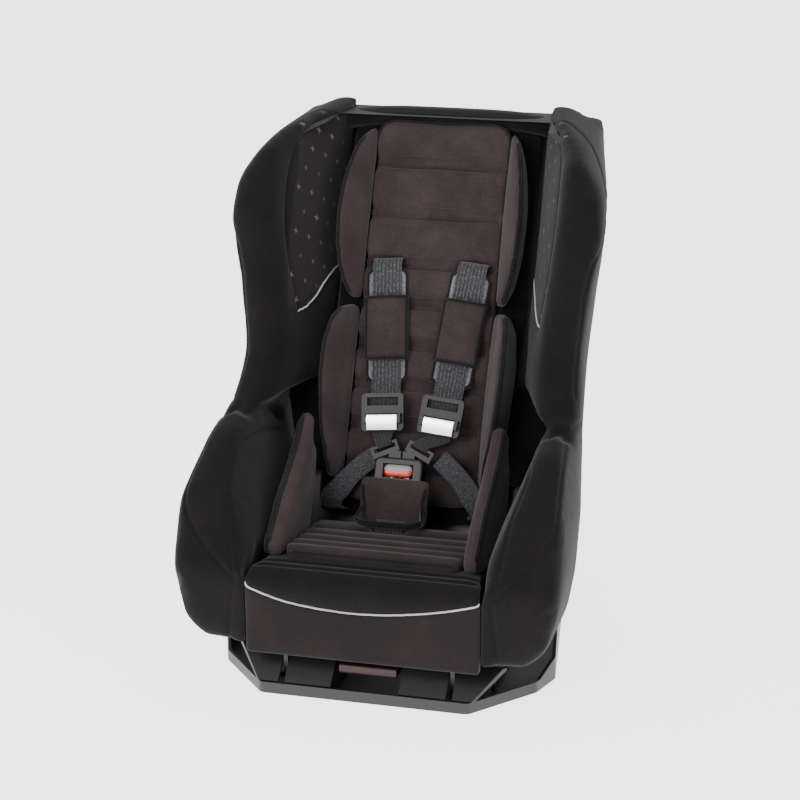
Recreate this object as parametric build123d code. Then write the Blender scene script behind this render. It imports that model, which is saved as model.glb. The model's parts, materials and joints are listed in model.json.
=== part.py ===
"""Convertible child car seat on a reclining base.

Millimetres, +Z up. The child faces -Y, and X is the width. The origin is the middle of the
base's bottom face. Sub-parts are written one per file to parts/.
"""
from build123d import *
import os
from math import asin, atan2, cos, degrees, hypot, radians, sin, tan

os.makedirs("parts", exist_ok=True)

# ---- driving dimensions -------------------------------------------------------------
HALF_WIDTH = 226          # over the padded wings
SIDE_TAPER = 36           # each side has closed in by this much at the back
SIDE_DRAFT = 0.29         # and widens by this for each millimetre off the back
HEIGHT = 616              # base to the top of the backrest
FRONT = -240              # front face of the padded seat edge
COVER_HEM = 53            # lower edge of the cover above the ground
BACK_LEAN = 25            # backrest from the vertical
PAN_RISE = 8              # seat pan from the horizontal
BIGHT_Y, BIGHT_Z = -12, 104   # where the shell's back meets its seat pan
SHELL_WALL = 4
OUTER_PAD = 12            # padding and cover outside the shell
GAP = 0.3                 # between soft layers and what they lie on

FOAM_T = 15
COVER_T = 8
INSERT_T = 17
COVER_W = FOAM_T + 2 * GAP            # underside of the cover above the shell
INSERT_W = COVER_W + COVER_T + GAP    # underside of the infant insert
CHILD_W = INSERT_W + INSERT_T         # face that the child leans on

# ---- base ---------------------------------------------------------------------------
BASE_HALF_WIDTH = 202
BASE_REAR_HALF = 145      # half width at the rear, where the base has narrowed
BASE_FRONT = -233
BASE_REAR = 236
BASE_FRONT_HALF = 123     # half of the straight front edge
BASE_CHAMFER_Y = -150     # where the front chamfers reach the sides
BASE_WALL = 4
BASE_LIP = 14
BASE_SIDE = 44            # height of the side walls
APRON_RISE = 30           # height that the sloping front apron climbs
RECESS_HALF = 40          # half width of the hand recess at the front

# ---- recline track: circular, about a virtual axis above the seat --------------------
RECLINE_Y = -20
TRACK_R = 390
RECLINE_RANGE = 12
RECLINE_STEPS = 6
ROD_R = 5
ROD_REACH = 100           # rods sit this far before and behind the axis
ROD_CLEAR = 0.3
ROD_Z = 68.0385           # height of the rods' middles
RECLINE_Z = ROD_Z + (TRACK_R ** 2 - ROD_REACH ** 2) ** 0.5
TRACK_X, TRACK_T = 97, 5  # inner face and thickness of the track cheeks
RAIL_X, RAIL_T = 88, 4    # inner face and thickness of the shell's slide rails
LATCH_R = TRACK_R - 13    # radius of the latch bar's path
LATCH_BAR_R = 4
LATCH_LIFT = 8
RACK_X, RACK_T = 60, 3
HANDLE_PIVOT = 45         # handle pivot behind the latch bar
HANDLE_T = 5
HANDLE_RISE = 10          # and above it
PIVOT_R = 3

# ---- harness ------------------------------------------------------------------------
STRAP_WIDTH = 36
STRAP_T = 1.4
LOWER_STRAP_WIDTH = 16    # gathered in the tongue's slot
SLOT_X, SLOT_V = 54, 349  # upper harness slots along the back
SLOT_STEP = 50            # distance between the three slot heights
SLOT_W, SLOT_H = 44, 8
ADJ_X, ADJ_V = 36, 158    # centre of the strap adjusters
ADJ_W, ADJ_H, ADJ_T = 52, 46, 6
PIN_R = 1.5
PIN_CLEAR = 0.05
PAD_W, PAD_LEN, PAD_T = 46, 138, 4
SLEEVE_LEN, SLEEVE_T = 76, 7
PAD_TRAVEL = 8
BUCKLE_X, BUCKLE_V = -8, 80
BUCKLE_W, BUCKLE_H = 60, 48
BUCKLE_FLOOR, BUCKLE_TOP = 48, 70
BUCKLE_WALL = 2
BUTTON_W, BUTTON_H = 36, 16
BUTTON_TRAVEL = 4.6
LATCH_SHARE = 0.8         # latch travel for each millimetre of the button's
CROTCH_PAD_W = 86
CROTCH_U = 78             # crotch slot ahead of the bight

# ---- frames -------------------------------------------------------------------------
LEAN_S, LEAN_C = sin(radians(BACK_LEAN)), cos(radians(BACK_LEAN))
PAN_S, PAN_C = sin(radians(PAN_RISE)), cos(radians(PAN_RISE))
BIGHT = (0, BIGHT_Y, BIGHT_Z)
BACK = Plane(BIGHT, x_dir=(1, 0, 0), z_dir=(0, -LEAN_C, LEAN_S)).location
PAN = Plane(BIGHT, x_dir=(1, 0, 0), z_dir=(0, PAN_S, PAN_C)).location
BACK_TOP = (HEIGHT - BIGHT_Z) / LEAN_C


def back_point(v, w):
    """(y, z) of a point v up the backrest and w in front of the shell's inner face."""
    return (BIGHT_Y + v * LEAN_S - w * LEAN_C, BIGHT_Z + v * LEAN_C + w * LEAN_S)


def pan_point(u, w):
    """(y, z) of a point u forward along the seat pan and w above its inner face."""
    return (BIGHT_Y - u * PAN_C + w * PAN_S, BIGHT_Z + u * PAN_S + w * PAN_C)


def span(middle, size):
    return middle - size / 2, middle + size / 2


def box(x, y, z):
    """Box between the limits given as (low, high) pairs."""
    size = [high - low for low, high in (x, y, z)]
    middle = [(high + low) / 2 for low, high in (x, y, z)]
    return Pos(*middle) * Box(*size)


def outline(points, radius=0.0):
    """Closed face through the points, with its corners rounded."""
    line = FilletPolyline(*points, radius=radius, close=True) if radius else Polyline(*points, close=True)
    return make_face(line)


def across(face, x0, x1):
    """Solid of a (y, z) outline between two widths."""
    return extrude(Plane.YZ.offset(x0) * face, x1 - x0)


def along(face, y0, y1):
    """Solid of an (x, z) outline between two depths."""
    return extrude(Plane.XZ.offset(-y1) * face, y1 - y0)


def upward(face, z0, z1):
    """Solid of an (x, y) outline between two heights."""
    return extrude(Plane.XY.offset(z0) * face, z1 - z0)


def mirrored(points):
    """The outline points of one half followed by their mirror images."""
    return points + [(-x, y) for x, y in reversed(points)]


def cross_rod(radius, half_length, y, z, x=0):
    return Pos(x, y, z) * Rot(0, 90, 0) * Cylinder(radius, 2 * half_length)


def side_of(solid, side):
    """The solid as built on the +X side, or its mirror image."""
    return solid if side > 0 else mirror(solid, about=Plane.YZ)


SIDES = (("left", 1), ("right", -1))
written = []


def write(node, solid):
    export_step(solid, os.path.join("parts", node + ".step"))
    written.append(node)


def pair(make):
    """Both sides of a small part, as separate solids of one group."""
    return Compound(children=[make(side) for _, side in SIDES])


# ---- outlines of the whole seat -------------------------------------------------------
def cover_side_points():
    """Side view of the covered seat: seat edge, armrest, waist, wing, top and back."""
    return [
        (FRONT, COVER_HEM),
        (FRONT, 158),
        (-208, 236),
        (-132, 284),
        (-52, 300),
        (-18, 345),
        (-14, 400),
        (2, 520),
        (34, 582),
        (118, HEIGHT - 6),
        back_point(BACK_TOP, -SHELL_WALL),
        back_point(BACK_TOP - 22, -SHELL_WALL - OUTER_PAD),
        back_point(16, -SHELL_WALL - OUTER_PAD),
        (8, COVER_HEM + 12),
    ]


def cover_front_points():
    """Front view of the covered seat, one half from the hem to the top."""
    return [
        (HALF_WIDTH - 64, COVER_HEM - 12),
        (HALF_WIDTH - 12, 84),
        (HALF_WIDTH + 1, 150),
        (HALF_WIDTH + 1, 215),
        (HALF_WIDTH - 14, 290),
        (HALF_WIDTH - 20, 350),
        (HALF_WIDTH - 12, 430),
        (HALF_WIDTH, 500),
        (HALF_WIDTH - 3, 545),
        (HALF_WIDTH - 36, 594),
        (HALF_WIDTH - 90, HEIGHT),
    ]


COVER_SIDE = outline(cover_side_points(), 9)
COVER_FRONT = outline(mirrored(cover_front_points()), 20)
FAR = 400


def between_sides(inset):
    """Space inside the front view and between two sides that close in towards the back."""
    front = offset(COVER_FRONT, -inset) if inset else COVER_FRONT
    slope = hypot(1, SIDE_DRAFT)
    edge = [(HALF_WIDTH - SIDE_TAPER - inset * slope + SIDE_DRAFT * w, w) for w in (-FAR / 4, FAR * 2)]
    wedge = BACK * Pos(0, -FAR, 0) * extrude(Plane.XZ * outline(mirrored(edge)), -FAR * 4)
    return along(front, -FAR, FAR) & wedge


def body(inset):
    """The seat's outer form, inset by a distance."""
    side = offset(COVER_SIDE, -inset) if inset else COVER_SIDE
    return across(side, -FAR, FAR) & between_sides(inset)


def cavity_face(clear):
    """(y, z) outline of the space above the pan and before the back."""
    along_walls = clear / tan(radians(90 + BACK_LEAN - PAN_RISE) / 2)
    return outline([
        pan_point(FAR, clear),
        pan_point(along_walls, clear),
        back_point(FAR * 2, clear),
        (-FAR, BIGHT_Z + FAR * 2),
    ])


def under_face():
    """(y, z) outline of the hollow under the seat pan, behind the shell's front wall."""
    front = FRONT + OUTER_PAD + SHELL_WALL
    reach = (BIGHT_Y - front) / PAN_C
    return outline([
        (front, 0),
        (front, pan_point(reach, -SHELL_WALL)[1]),
        pan_point(2, -SHELL_WALL),
        (FAR, pan_point(2, -SHELL_WALL)[1]),
        (FAR, 0),
    ])


def strap_frame(side):
    """Frame of one shoulder strap: origin at its upper slot, y up the strap."""
    lean = degrees(atan2(SLOT_X - ADJ_X, SLOT_V - ADJ_V))
    return BACK * Location((side * SLOT_X, SLOT_V, 0), (0, 0, -side * lean))


STRAP_RUN = hypot(SLOT_X - ADJ_X, SLOT_V - ADJ_V)   # slot to adjuster, along the strap


def harness_slots(w0, w1):
    """Cutters of the shoulder slots through a layer of the back, at three heights."""
    return [BACK * box(span(side * SLOT_X, SLOT_W), span(SLOT_V - step * SLOT_STEP, SLOT_H), (w0, w1))
            for _, side in SIDES for step in range(3)]


LAP_X, LAP_V = 90, 40


def lap_slots(w0, w1):
    """Cutters of the two hip slots."""
    half = SLOT_W / 2
    return [BACK * box((side * LAP_X - half, side * LAP_X + half),
                       (LAP_V - SLOT_H / 2, LAP_V + SLOT_H / 2), (w0, w1)) for _, side in SIDES]


def crotch_slot(w0, w1):
    half = SLOT_W / 2
    return PAN * box((BUCKLE_X - half, BUCKLE_X + half),
                     (-CROTCH_U - SLOT_H / 2, -CROTCH_U + SLOT_H / 2), (w0, w1))


# ---- shell ----------------------------------------------------------------------------
RIB_DEPTH = 10
RIB_T = 3
BELT_SLOT = (132, 166)    # vehicle belt openings beside the back


def make_shell():
    outer = body(OUTER_PAD)
    inside = between_sides(OUTER_PAD + SHELL_WALL)
    hollow = across(cavity_face(0), -FAR, FAR) & inside
    under = across(under_face(), -FAR, FAR) & inside
    solid = outer - hollow - under
    back_ribs = [BACK * box((x - RIB_T / 2, x + RIB_T / 2), (70, BACK_TOP - 60),
                            (-SHELL_WALL - RIB_DEPTH, -SHELL_WALL))
                 for x in (-110, -20, 20, 110)]
    cross_ribs = [BACK * box((-110, 110), (v - RIB_T / 2, v + RIB_T / 2),
                             (-SHELL_WALL - RIB_DEPTH, -SHELL_WALL))
                  for v in (215, 385, 470)]
    for rib in back_ribs + cross_ribs:
        solid += rib
    cutters = harness_slots(-30, 20) + lap_slots(-30, 20) + [crotch_slot(-20, 20)]
    for _, side in SIDES:
        low, high = sorted(side * x for x in BELT_SLOT)
        cutters.append(BACK * box((low, high), (120, 200), (-30, 20)))
    for cutter in cutters:
        solid -= cutter
    return solid


def make_slide_rail(side):
    """Downward rail under the pan that carries the guide rods and the latch bar."""
    face = outline([
        (-185, 64),
        (-185, pan_point((BIGHT_Y + 185) / PAN_C, -SHELL_WALL - 0.1)[1]),
        pan_point(0, -SHELL_WALL - 0.1),
        (98, 98),
        (98, 64),
    ])
    rail = across(face, RAIL_X, RAIL_X + RAIL_T)
    for y, z in rod_places():
        rail -= cross_rod(ROD_R, FAR, y, z)
    rail -= across(latch_slot_face(), -FAR, FAR)
    rail -= cross_rod(PIVOT_R, FAR, *pivot_place())
    return side_of(rail, side)


def rod_places():
    return [(RECLINE_Y - ROD_REACH, ROD_Z), (RECLINE_Y + ROD_REACH, ROD_Z)]


def latch_z():
    return RECLINE_Z - LATCH_R


def pivot_place():
    return RECLINE_Y + HANDLE_PIVOT, latch_z() + HANDLE_RISE


def latch_slot_face():
    """Upright slot that guides the latch bar in the slide rails."""
    half = LATCH_BAR_R + ROD_CLEAR
    z = latch_z()
    return outline([
        (RECLINE_Y - half, z - half),
        (RECLINE_Y + half, z - half),
        (RECLINE_Y + half, z + LATCH_LIFT + half),
        (RECLINE_Y - half, z + LATCH_LIFT + half),
    ])


def on_arc(radius, angle):
    """(y, z) at an angle ahead of straight down from the recline axis."""
    a = radians(angle)
    return (RECLINE_Y - radius * sin(a), RECLINE_Z - radius * cos(a))


def arc_slot(radius, half, start, end, x0, x1):
    """Solid of a curved slot about the recline axis with round ends."""
    ring = Circle(radius + half) - Circle(radius - half)
    wedge_r = 2 * radius
    turn = [(0, 0)] + [(-wedge_r * sin(radians(a)), -wedge_r * cos(radians(a))) for a in (start, end)]
    sector = make_face(Polyline(*turn, close=True))
    face = Location((RECLINE_Y, RECLINE_Z)) * (ring & sector)
    solid = across(face, x0, x1)
    for angle in (start, end):
        y, z = on_arc(radius, angle)
        solid += cross_rod(half, (x1 - x0) / 2, y, z, (x0 + x1) / 2)
    return solid


# ---- base -----------------------------------------------------------------------------
def base_plan():
    half, front = BASE_HALF_WIDTH, BASE_FRONT
    return [
        (BASE_FRONT_HALF, front),
        (half - 14, BASE_CHAMFER_Y - 8),
        (half, BASE_CHAMFER_Y + 34),
        (BASE_REAR_HALF + 12, BASE_REAR - 40),
        (BASE_REAR_HALF - 16, BASE_REAR),
    ]


def make_base_tray():
    plan = outline(mirrored(base_plan()), 12)
    tray = upward(plan, 0, BASE_SIDE) - upward(offset(plan, -BASE_WALL), BASE_WALL, FAR)
    ramp = outline([
        (-FAR, BASE_LIP),
        (BASE_CHAMFER_Y, BASE_LIP),
        (BASE_CHAMFER_Y + 70, BASE_SIDE),
        (BASE_CHAMFER_Y + 70, FAR),
        (-FAR, FAR),
    ])
    tray -= across(ramp, -FAR, FAR)
    apron = across(outline([
        (BASE_FRONT + BASE_WALL, BASE_LIP - BASE_WALL),
        (BASE_FRONT + BASE_WALL, BASE_LIP),
        (BASE_FRONT + 38, BASE_LIP + APRON_RISE),
        (BASE_FRONT + 38 + BASE_WALL, BASE_LIP + APRON_RISE),
        (BASE_FRONT + 38 + BASE_WALL, BASE_LIP + APRON_RISE - BASE_WALL),
    ]), -160, 160) & upward(plan, 0, FAR)
    for _, side in SIDES:
        low, high = sorted(side * x for x in (TRACK_X - 1, TRACK_X + TRACK_T + 1))
        apron -= box((low, high), (BASE_FRONT + BASE_WALL, FAR), (BASE_WALL, FAR))
    tray += apron
    for _, side in SIDES:
        wall = across(outline([
            (BASE_FRONT + BASE_WALL, BASE_WALL),
            (BASE_FRONT + BASE_WALL, BASE_LIP),
            (BASE_FRONT + 38, BASE_LIP + APRON_RISE),
            (BASE_FRONT + 60, BASE_LIP + APRON_RISE),
            (BASE_FRONT + 60, BASE_WALL),
        ]), RECESS_HALF, RECESS_HALF + BASE_WALL)
        tray += side_of(wall, side)
    tray -= box((-RECESS_HALF, RECESS_HALF), (BASE_FRONT + BASE_WALL, BASE_FRONT + 60), (BASE_WALL, FAR))
    floor = upward(offset(plan, -BASE_WALL), 0, FAR)
    for x in (-140, -RECESS_HALF, RECESS_HALF, 140):
        tray += floor & box((x - 2, x + 2), (BASE_FRONT + 60, BASE_REAR), (BASE_WALL, BASE_WALL + 8))
    return tray


TRACK_TOP = 13            # material above the curved slots
CLEAR_ANGLE = 3


def make_track_cheek(side):
    """Upright cheek of the base with the two curved slots of the guide rods."""
    reach = degrees(asin(ROD_REACH / TRACK_R))
    front_angle = reach + RECLINE_RANGE + CLEAR_ANGLE
    rear_angle = -reach - CLEAR_ANGLE
    steps = 6
    top = [on_arc(TRACK_R - TRACK_TOP, front_angle + (rear_angle - front_angle) * i / steps)
           for i in range(steps + 1)]
    face = outline([(top[0][0], BASE_WALL)] + top + [(top[-1][0], BASE_WALL)])
    cheek = across(face, TRACK_X, TRACK_X + TRACK_T)
    flange = box((TRACK_X + TRACK_T, TRACK_X + TRACK_T + 14), (top[0][0] + 20, top[-1][0]),
                 (BASE_WALL, BASE_WALL + 3))
    cheek += flange
    half = ROD_R + ROD_CLEAR
    for start in (reach, -reach):
        cheek -= arc_slot(TRACK_R, half, start, start + RECLINE_RANGE, 0, FAR)
    return side_of(cheek, side)


def make_rack_plate(side):
    """Notched steel plate: one notch for each step of the recline."""
    top_r = LATCH_R - 1
    steps = 4
    angles = [RECLINE_RANGE + 1.4 + (-2.8 - RECLINE_RANGE) * i / steps for i in range(steps + 1)]
    top = [on_arc(top_r, a) for a in angles]
    face = outline([(top[0][0], BASE_WALL)] + top + [(top[-1][0], BASE_WALL)])
    plate = across(face, RACK_X, RACK_X + RACK_T)
    foot = (BASE_WALL, BASE_WALL + 3)
    plate += box((RACK_X + RACK_T, RACK_X + RACK_T + 14), (top[0][0], top[-1][0]), foot)
    notch_r = LATCH_BAR_R + ROD_CLEAR
    for step in range(RECLINE_STEPS + 1):
        angle = step * RECLINE_RANGE / RECLINE_STEPS
        low, high = on_arc(LATCH_R, angle), on_arc(LATCH_R - 20, angle)
        plate -= cross_rod(notch_r, FAR, *low)
        wide = degrees(notch_r / LATCH_R)
        mouth = outline([on_arc(LATCH_R, angle + wide), on_arc(LATCH_R - 20, angle + wide),
                         on_arc(LATCH_R - 20, angle - wide), on_arc(LATCH_R, angle - wide)])
        plate -= across(mouth, -FAR, FAR)
    return side_of(plate, side)


def make_base_screws():
    """Eight screws that hold the cheeks and racks down, heads on their flanges."""
    heads = []
    for _, side in SIDES:
        for x, ys in ((TRACK_X + TRACK_T + 8, (-150, 40)), (RACK_X + RACK_T + 8, (-80, -35))):
            for y in ys:
                heads.append(Pos(side * x, y, BASE_WALL + 3 + 1.25) * Cylinder(4, 2.5))
    return Compound(children=heads)


# ---- recline gear ----------------------------------------------------------------------
CAP_T = 5


def make_guide_rod(y, z):
    return cross_rod(ROD_R, TRACK_X + TRACK_T + CAP_T, y, z)


def make_rod_caps():
    """Push-on caps outside the cheeks, one at each rod end."""
    caps = []
    for y, z in rod_places():
        for _, side in SIDES:
            x = side * (TRACK_X + TRACK_T + 0.5 + CAP_T / 2)
            cap = cross_rod(ROD_R + 4, CAP_T / 2, y, z, x) - cross_rod(ROD_R, FAR, y, z)
            caps.append(cap)
    return Compound(children=caps)


GRIP_Y = FRONT + OUTER_PAD + SHELL_WALL + 12
ARM_X = 34


def make_recline_handle():
    """Lever with two arms: pivots behind the latch bar and lifts it when its grip is raised."""
    z = latch_z()
    pivot_y, pivot_z = pivot_place()
    arm_low, arm_high = 24, 36
    arm_face = outline([
        (pivot_y + 8, pivot_z - 7), (pivot_y + 8, pivot_z + 7), (RECLINE_Y - 10, z + 10),
        (RECLINE_Y - 58, arm_high), (GRIP_Y + 12, arm_high), (GRIP_Y + 12, arm_low),
        (RECLINE_Y - 64, arm_low), (RECLINE_Y - 14, z - 11),
    ], 3)
    handle = across(arm_face, ARM_X - HANDLE_T, ARM_X) + across(arm_face, -ARM_X, HANDLE_T - ARM_X)
    grip_face = outline([(GRIP_Y, arm_low), (GRIP_Y, arm_high), (GRIP_Y + 26, arm_high + 5),
                         (GRIP_Y + 26, arm_low + 6)], 3)
    handle += across(grip_face, -ARM_X, ARM_X)
    handle -= cross_rod(PIVOT_R + PIN_CLEAR, FAR, pivot_y, pivot_z)
    high, long = LATCH_BAR_R + 0.3, LATCH_BAR_R + 1.3
    handle -= box((-FAR, FAR), (RECLINE_Y - long, RECLINE_Y + long), (z - high, z + high))
    return handle


def make_pivot_pin():
    return cross_rod(PIVOT_R, RAIL_X + RAIL_T, *pivot_place())


def make_latch_bar():
    return cross_rod(LATCH_BAR_R, RAIL_X + RAIL_T + 1.5, RECLINE_Y, latch_z())


def make_latch_spring(side):
    """Compression spring that holds the latch bar down, between the bar and the pan."""
    bottom = latch_z() + LATCH_BAR_R + 1.2
    top = pan_point((BIGHT_Y - RECLINE_Y) / PAN_C, -SHELL_WALL)[1] - 1.2
    turns, wire_r, coil_r = 5, 0.8, 5
    path = Helix(pitch=(top - bottom) / turns, height=top - bottom, radius=coil_r)
    profile = Plane(path @ 0, z_dir=path % 0) * Circle(wire_r)
    return Pos(side * 74, RECLINE_Y, bottom) * sweep(profile, path=path, is_frenet=True)


# ---- soft layers ------------------------------------------------------------------------
BACK_HALF = 120           # half width of the flat middle of the back
BACK_LOW = 30             # lowest point of the back layers above the bight


def back_layer(half, v0, v1, w0, w1, radius):
    face = outline(mirrored([(half, v0), (half, v1)]), radius)
    return BACK * extrude(Plane.XY.offset(w0) * face, w1 - w0)


def cut_all(solid, cutters):
    for cutter in cutters:
        solid -= cutter
    return solid


def make_foam_back():
    return cut_all(back_layer(BACK_HALF, BACK_LOW, BACK_TOP - 38, GAP, FOAM_T, 18),
                   harness_slots(-5, 60) + lap_slots(-5, 60))


def make_cover_back(outer, zone):
    """Padded middle of the backrest cover with its band over the top edge."""
    panel = back_layer(BACK_HALF, BACK_LOW, BACK_TOP - 34, COVER_W, COVER_W + COVER_T, 18)
    half = WING_FLAT - GAP
    face = outline([(-half, -30), (-half, COVER_W + COVER_T), (half, COVER_W + COVER_T), (half, -30)])
    block = BACK * Pos(0, BACK_TOP - 60, 0) * extrude(Plane.XZ * face, -120)
    under = BACK * box((-FAR, FAR), (-FAR, BACK_TOP - 36), (-FAR, COVER_W))
    band = biggest((block & outer) - zone - under)
    return cut_all(biggest(panel + band), harness_slots(0, 60) + lap_slots(0, 60))


INSERT_HALF = 84
INSERT_TOP = 522
LUMBAR_LOW = 116          # lower end of the lumbar bolsters above the bight
LUMBAR_W = 99             # their crest off the shell


def make_insert_back():
    return cut_all(back_layer(INSERT_HALF, BACK_LOW + 22, INSERT_TOP, INSERT_W, CHILD_W, 22),
                   harness_slots(0, 60))


def make_head_wing(side):
    """Padded side of the insert's head part."""
    inner = INSERT_HALF + GAP
    face = outline([(inner, INSERT_W), (inner, CHILD_W + 4), (inner + 20, 84), (inner + 32, 84),
                    (inner + 32, INSERT_W + 22), (inner + 22, INSERT_W)])
    wing = extrude(Plane.XZ * face, -(INSERT_TOP - 14 - 296))
    return side_of(BACK * Pos(0, 296, 0) * wing, side)


def make_lumbar_bolster(side):
    """Side bolster of the insert beside the child's ribs."""
    inner = INSERT_HALF + GAP
    face = outline([(inner, INSERT_W), (inner, CHILD_W + 4), (inner + 22, LUMBAR_W), (inner + 35, LUMBAR_W),
                    (inner + 35, INSERT_W)])
    bolster = extrude(Plane.XZ * face, -172)
    return side_of(BACK * Pos(0, LUMBAR_LOW, 0) * bolster, side)


SEAT_HALF = 118
PAN_LEN = (BIGHT_Y - FRONT - OUTER_PAD) / PAN_C


def pan_layer(half, u0, u1, w0, w1, radius):
    face = outline(mirrored([(half, -u0), (half, -u1)]), radius)
    return PAN * extrude(Plane.XY.offset(w0) * face, w1 - w0)


def make_foam_seat():
    return pan_layer(SEAT_HALF + 14, 22, PAN_LEN - 16, GAP, FOAM_T, 18) - crotch_slot(-5, 60)


def make_cover_seat():
    """Padded seat surface that rolls over the front edge and hangs down to the hem."""
    top = pan_layer(SEAT_HALF + 16, 30, PAN_LEN - 4, COVER_W, COVER_W + COVER_T, 6)
    edge_z = pan_point(PAN_LEN, COVER_W + COVER_T)[1]
    roll = outline([
        (FRONT, COVER_HEM), (FRONT, edge_z - 14), (FRONT + 14, edge_z),
        pan_point(PAN_LEN - 12, COVER_W + COVER_T), pan_point(PAN_LEN - 12, COVER_W),
        (FRONT + OUTER_PAD - GAP, edge_z - COVER_T - 4), (FRONT + OUTER_PAD - GAP, COVER_HEM),
    ])
    return top + across(roll, -SEAT_HALF - 20, SEAT_HALF + 20) - crotch_slot(0, 60)


def make_insert_seat():
    """Seat cushion of the insert."""
    return pan_layer(SEAT_HALF - 14, 50, PAN_LEN - 28, INSERT_W, CHILD_W, 14) - crotch_slot(0, 60)


def make_thigh_bolster(side):
    """Raised side of the insert's seat, low at the front and leaning on the lumbar bolster behind."""
    front, rear = PAN_LEN - 32, 70
    lean = LUMBAR_W + 0.8
    face = outline([
        pan_point(front, INSERT_W), pan_point(front, CHILD_W), pan_point(front - 45, 90),
        pan_point(rear + 30, 124), pan_point(rear - 1, 153), back_point(LUMBAR_LOW + 42, lean + 5),
        back_point(LUMBAR_LOW + 39, lean), back_point(LUMBAR_LOW - 1, lean),
        pan_point(rear - 30, 128), pan_point(rear, 60), pan_point(rear, INSERT_W),
    ])
    return side_of(across(face, SEAT_HALF - 13, SEAT_HALF + 14), side)


WAIST_Z = 296
WING_FLAT = 124           # wing's inner face at the back
WING_EDGE = 164           # and at its front edge
WRAP_X = 174              # the cover wraps the shell's back outside this width


def shell_zone():
    """Space that the shell and a thin gap around it take up, for cutting soft parts."""
    inside = between_sides(OUTER_PAD + SHELL_WALL + GAP)
    hollow = across(cavity_face(GAP), -FAR, FAR) & inside
    return body(OUTER_PAD - GAP) - hollow


def make_wing(side, outer, zone):
    """Padded side wing that wraps the shell's rim above the waist."""
    face = outline([(WING_FLAT, GAP), (WING_FLAT, 24), (WING_EDGE, 124), (WING_EDGE + 12, 170), (300, 170),
                    (300, -30), (WRAP_X, -30), (WRAP_X, GAP)])
    block = BACK * Pos(0, 100, 0) * extrude(Plane.XZ * face, -FAR * 2)
    wing = block & outer
    wing &= box((0, FAR), (-FAR, FAR), (WAIST_Z + GAP, FAR * 2))
    return side_of(biggest(wing - zone), side)


ARM_LOW, ARM_TOP = 140, 170


def make_armrest(side, outer, zone):
    """Padded armrest that wraps the shell's side below the waist."""
    face = outline([(ARM_LOW, COVER_HEM + 10), (ARM_LOW, 176), (ARM_TOP, 268), (ARM_TOP + 6, FAR),
                    (300, FAR), (300, COVER_HEM + 10)])
    rest = along(face, -FAR, FAR) & outer
    rest &= box((0, FAR), (-FAR, FAR), (0, WAIST_Z))
    under = across(under_face(), -FAR, FAR) & along(offset(COVER_FRONT, -OUTER_PAD + GAP), -FAR, FAR)
    behind = BACK * box((0, WRAP_X), (-FAR, FAR), (-FAR, 0))
    return side_of(biggest(rest - zone - under - behind), side)


def biggest(solid):
    return sorted(solid.solids(), key=lambda s: s.volume)[-1]


# ---- harness --------------------------------------------------------------------------
def ribbon(points, width):
    """Flat strap through (v, w) points: one plate for each run, joined at the bends."""
    strap = None
    for (v0, w0), (v1, w1) in zip(points, points[1:]):
        run = hypot(v1 - v0, w1 - w0)
        turn = degrees(atan2(w1 - w0, v1 - v0))
        middle = Pos(0, (v0 + v1) / 2, (w0 + w1) / 2) * Rot(turn, 0, 0)
        plate = middle * Box(width, run + STRAP_T * 0.6, STRAP_T)
        strap = plate if strap is None else strap + plate
    return strap


STRAP_REST = CHILD_W + PAD_T + 1.6      # middle of the strap where it lies on its pad
PAD_TOP_B = -14                         # top of the pad below the slot


def make_shoulder_strap(side):
    """Webbing from its anchor behind the shell, through the slot, to the adjuster."""
    under_adjuster = ADJ_FLOOR - STRAP_T / 2 - GAP
    points = [
        (-60, -SHELL_WALL - RIB_DEPTH - 6),
        (0, -SHELL_WALL - RIB_DEPTH - 3),
        (0, CHILD_W + 3),
        (-10, STRAP_REST),
        (PAD_TOP_B - PAD_LEN - PAD_TRAVEL - 2, STRAP_REST),
        (ADJ_H / 2 + 2 - STRAP_RUN, under_adjuster),
        (-STRAP_RUN - 12, under_adjuster),
    ]
    return strap_frame(side) * ribbon(points, STRAP_WIDTH)


def make_shoulder_pad(side):
    face = outline([(-PAD_W / 2, PAD_TOP_B - PAD_LEN), (PAD_W / 2, PAD_TOP_B - PAD_LEN),
                    (PAD_W / 2, PAD_TOP_B), (-PAD_W / 2, PAD_TOP_B)], 8)
    w0 = CHILD_W + 0.5
    return strap_frame(side) * extrude(Plane.XY.offset(w0) * face, PAD_T)


def make_pad_sleeve(side):
    """Sleeve that holds the strap on its pad, open along the strap."""
    middle = PAD_TOP_B - PAD_LEN / 2 - 4
    low = CHILD_W + PAD_T + 0.5
    outer = box(span(0, PAD_W), span(middle, SLEEVE_LEN), (low, low + SLEEVE_T))
    half = STRAP_WIDTH / 2 + 0.5
    tunnel = box((-half, half), (-FAR, FAR), (low - 1, STRAP_REST + STRAP_T / 2 + 0.5))
    return strap_frame(side) * (outer - tunnel)


ADJ_FLOOR = 58            # underside of the adjuster above the shell
LEVER_B = -8              # lever pivot below the adjuster's centre
LEVER_Z = ADJ_FLOOR + ADJ_T + 2.4


def adj_frame(side):
    return strap_frame(side) * Pos(0, -STRAP_RUN, 0)


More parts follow.
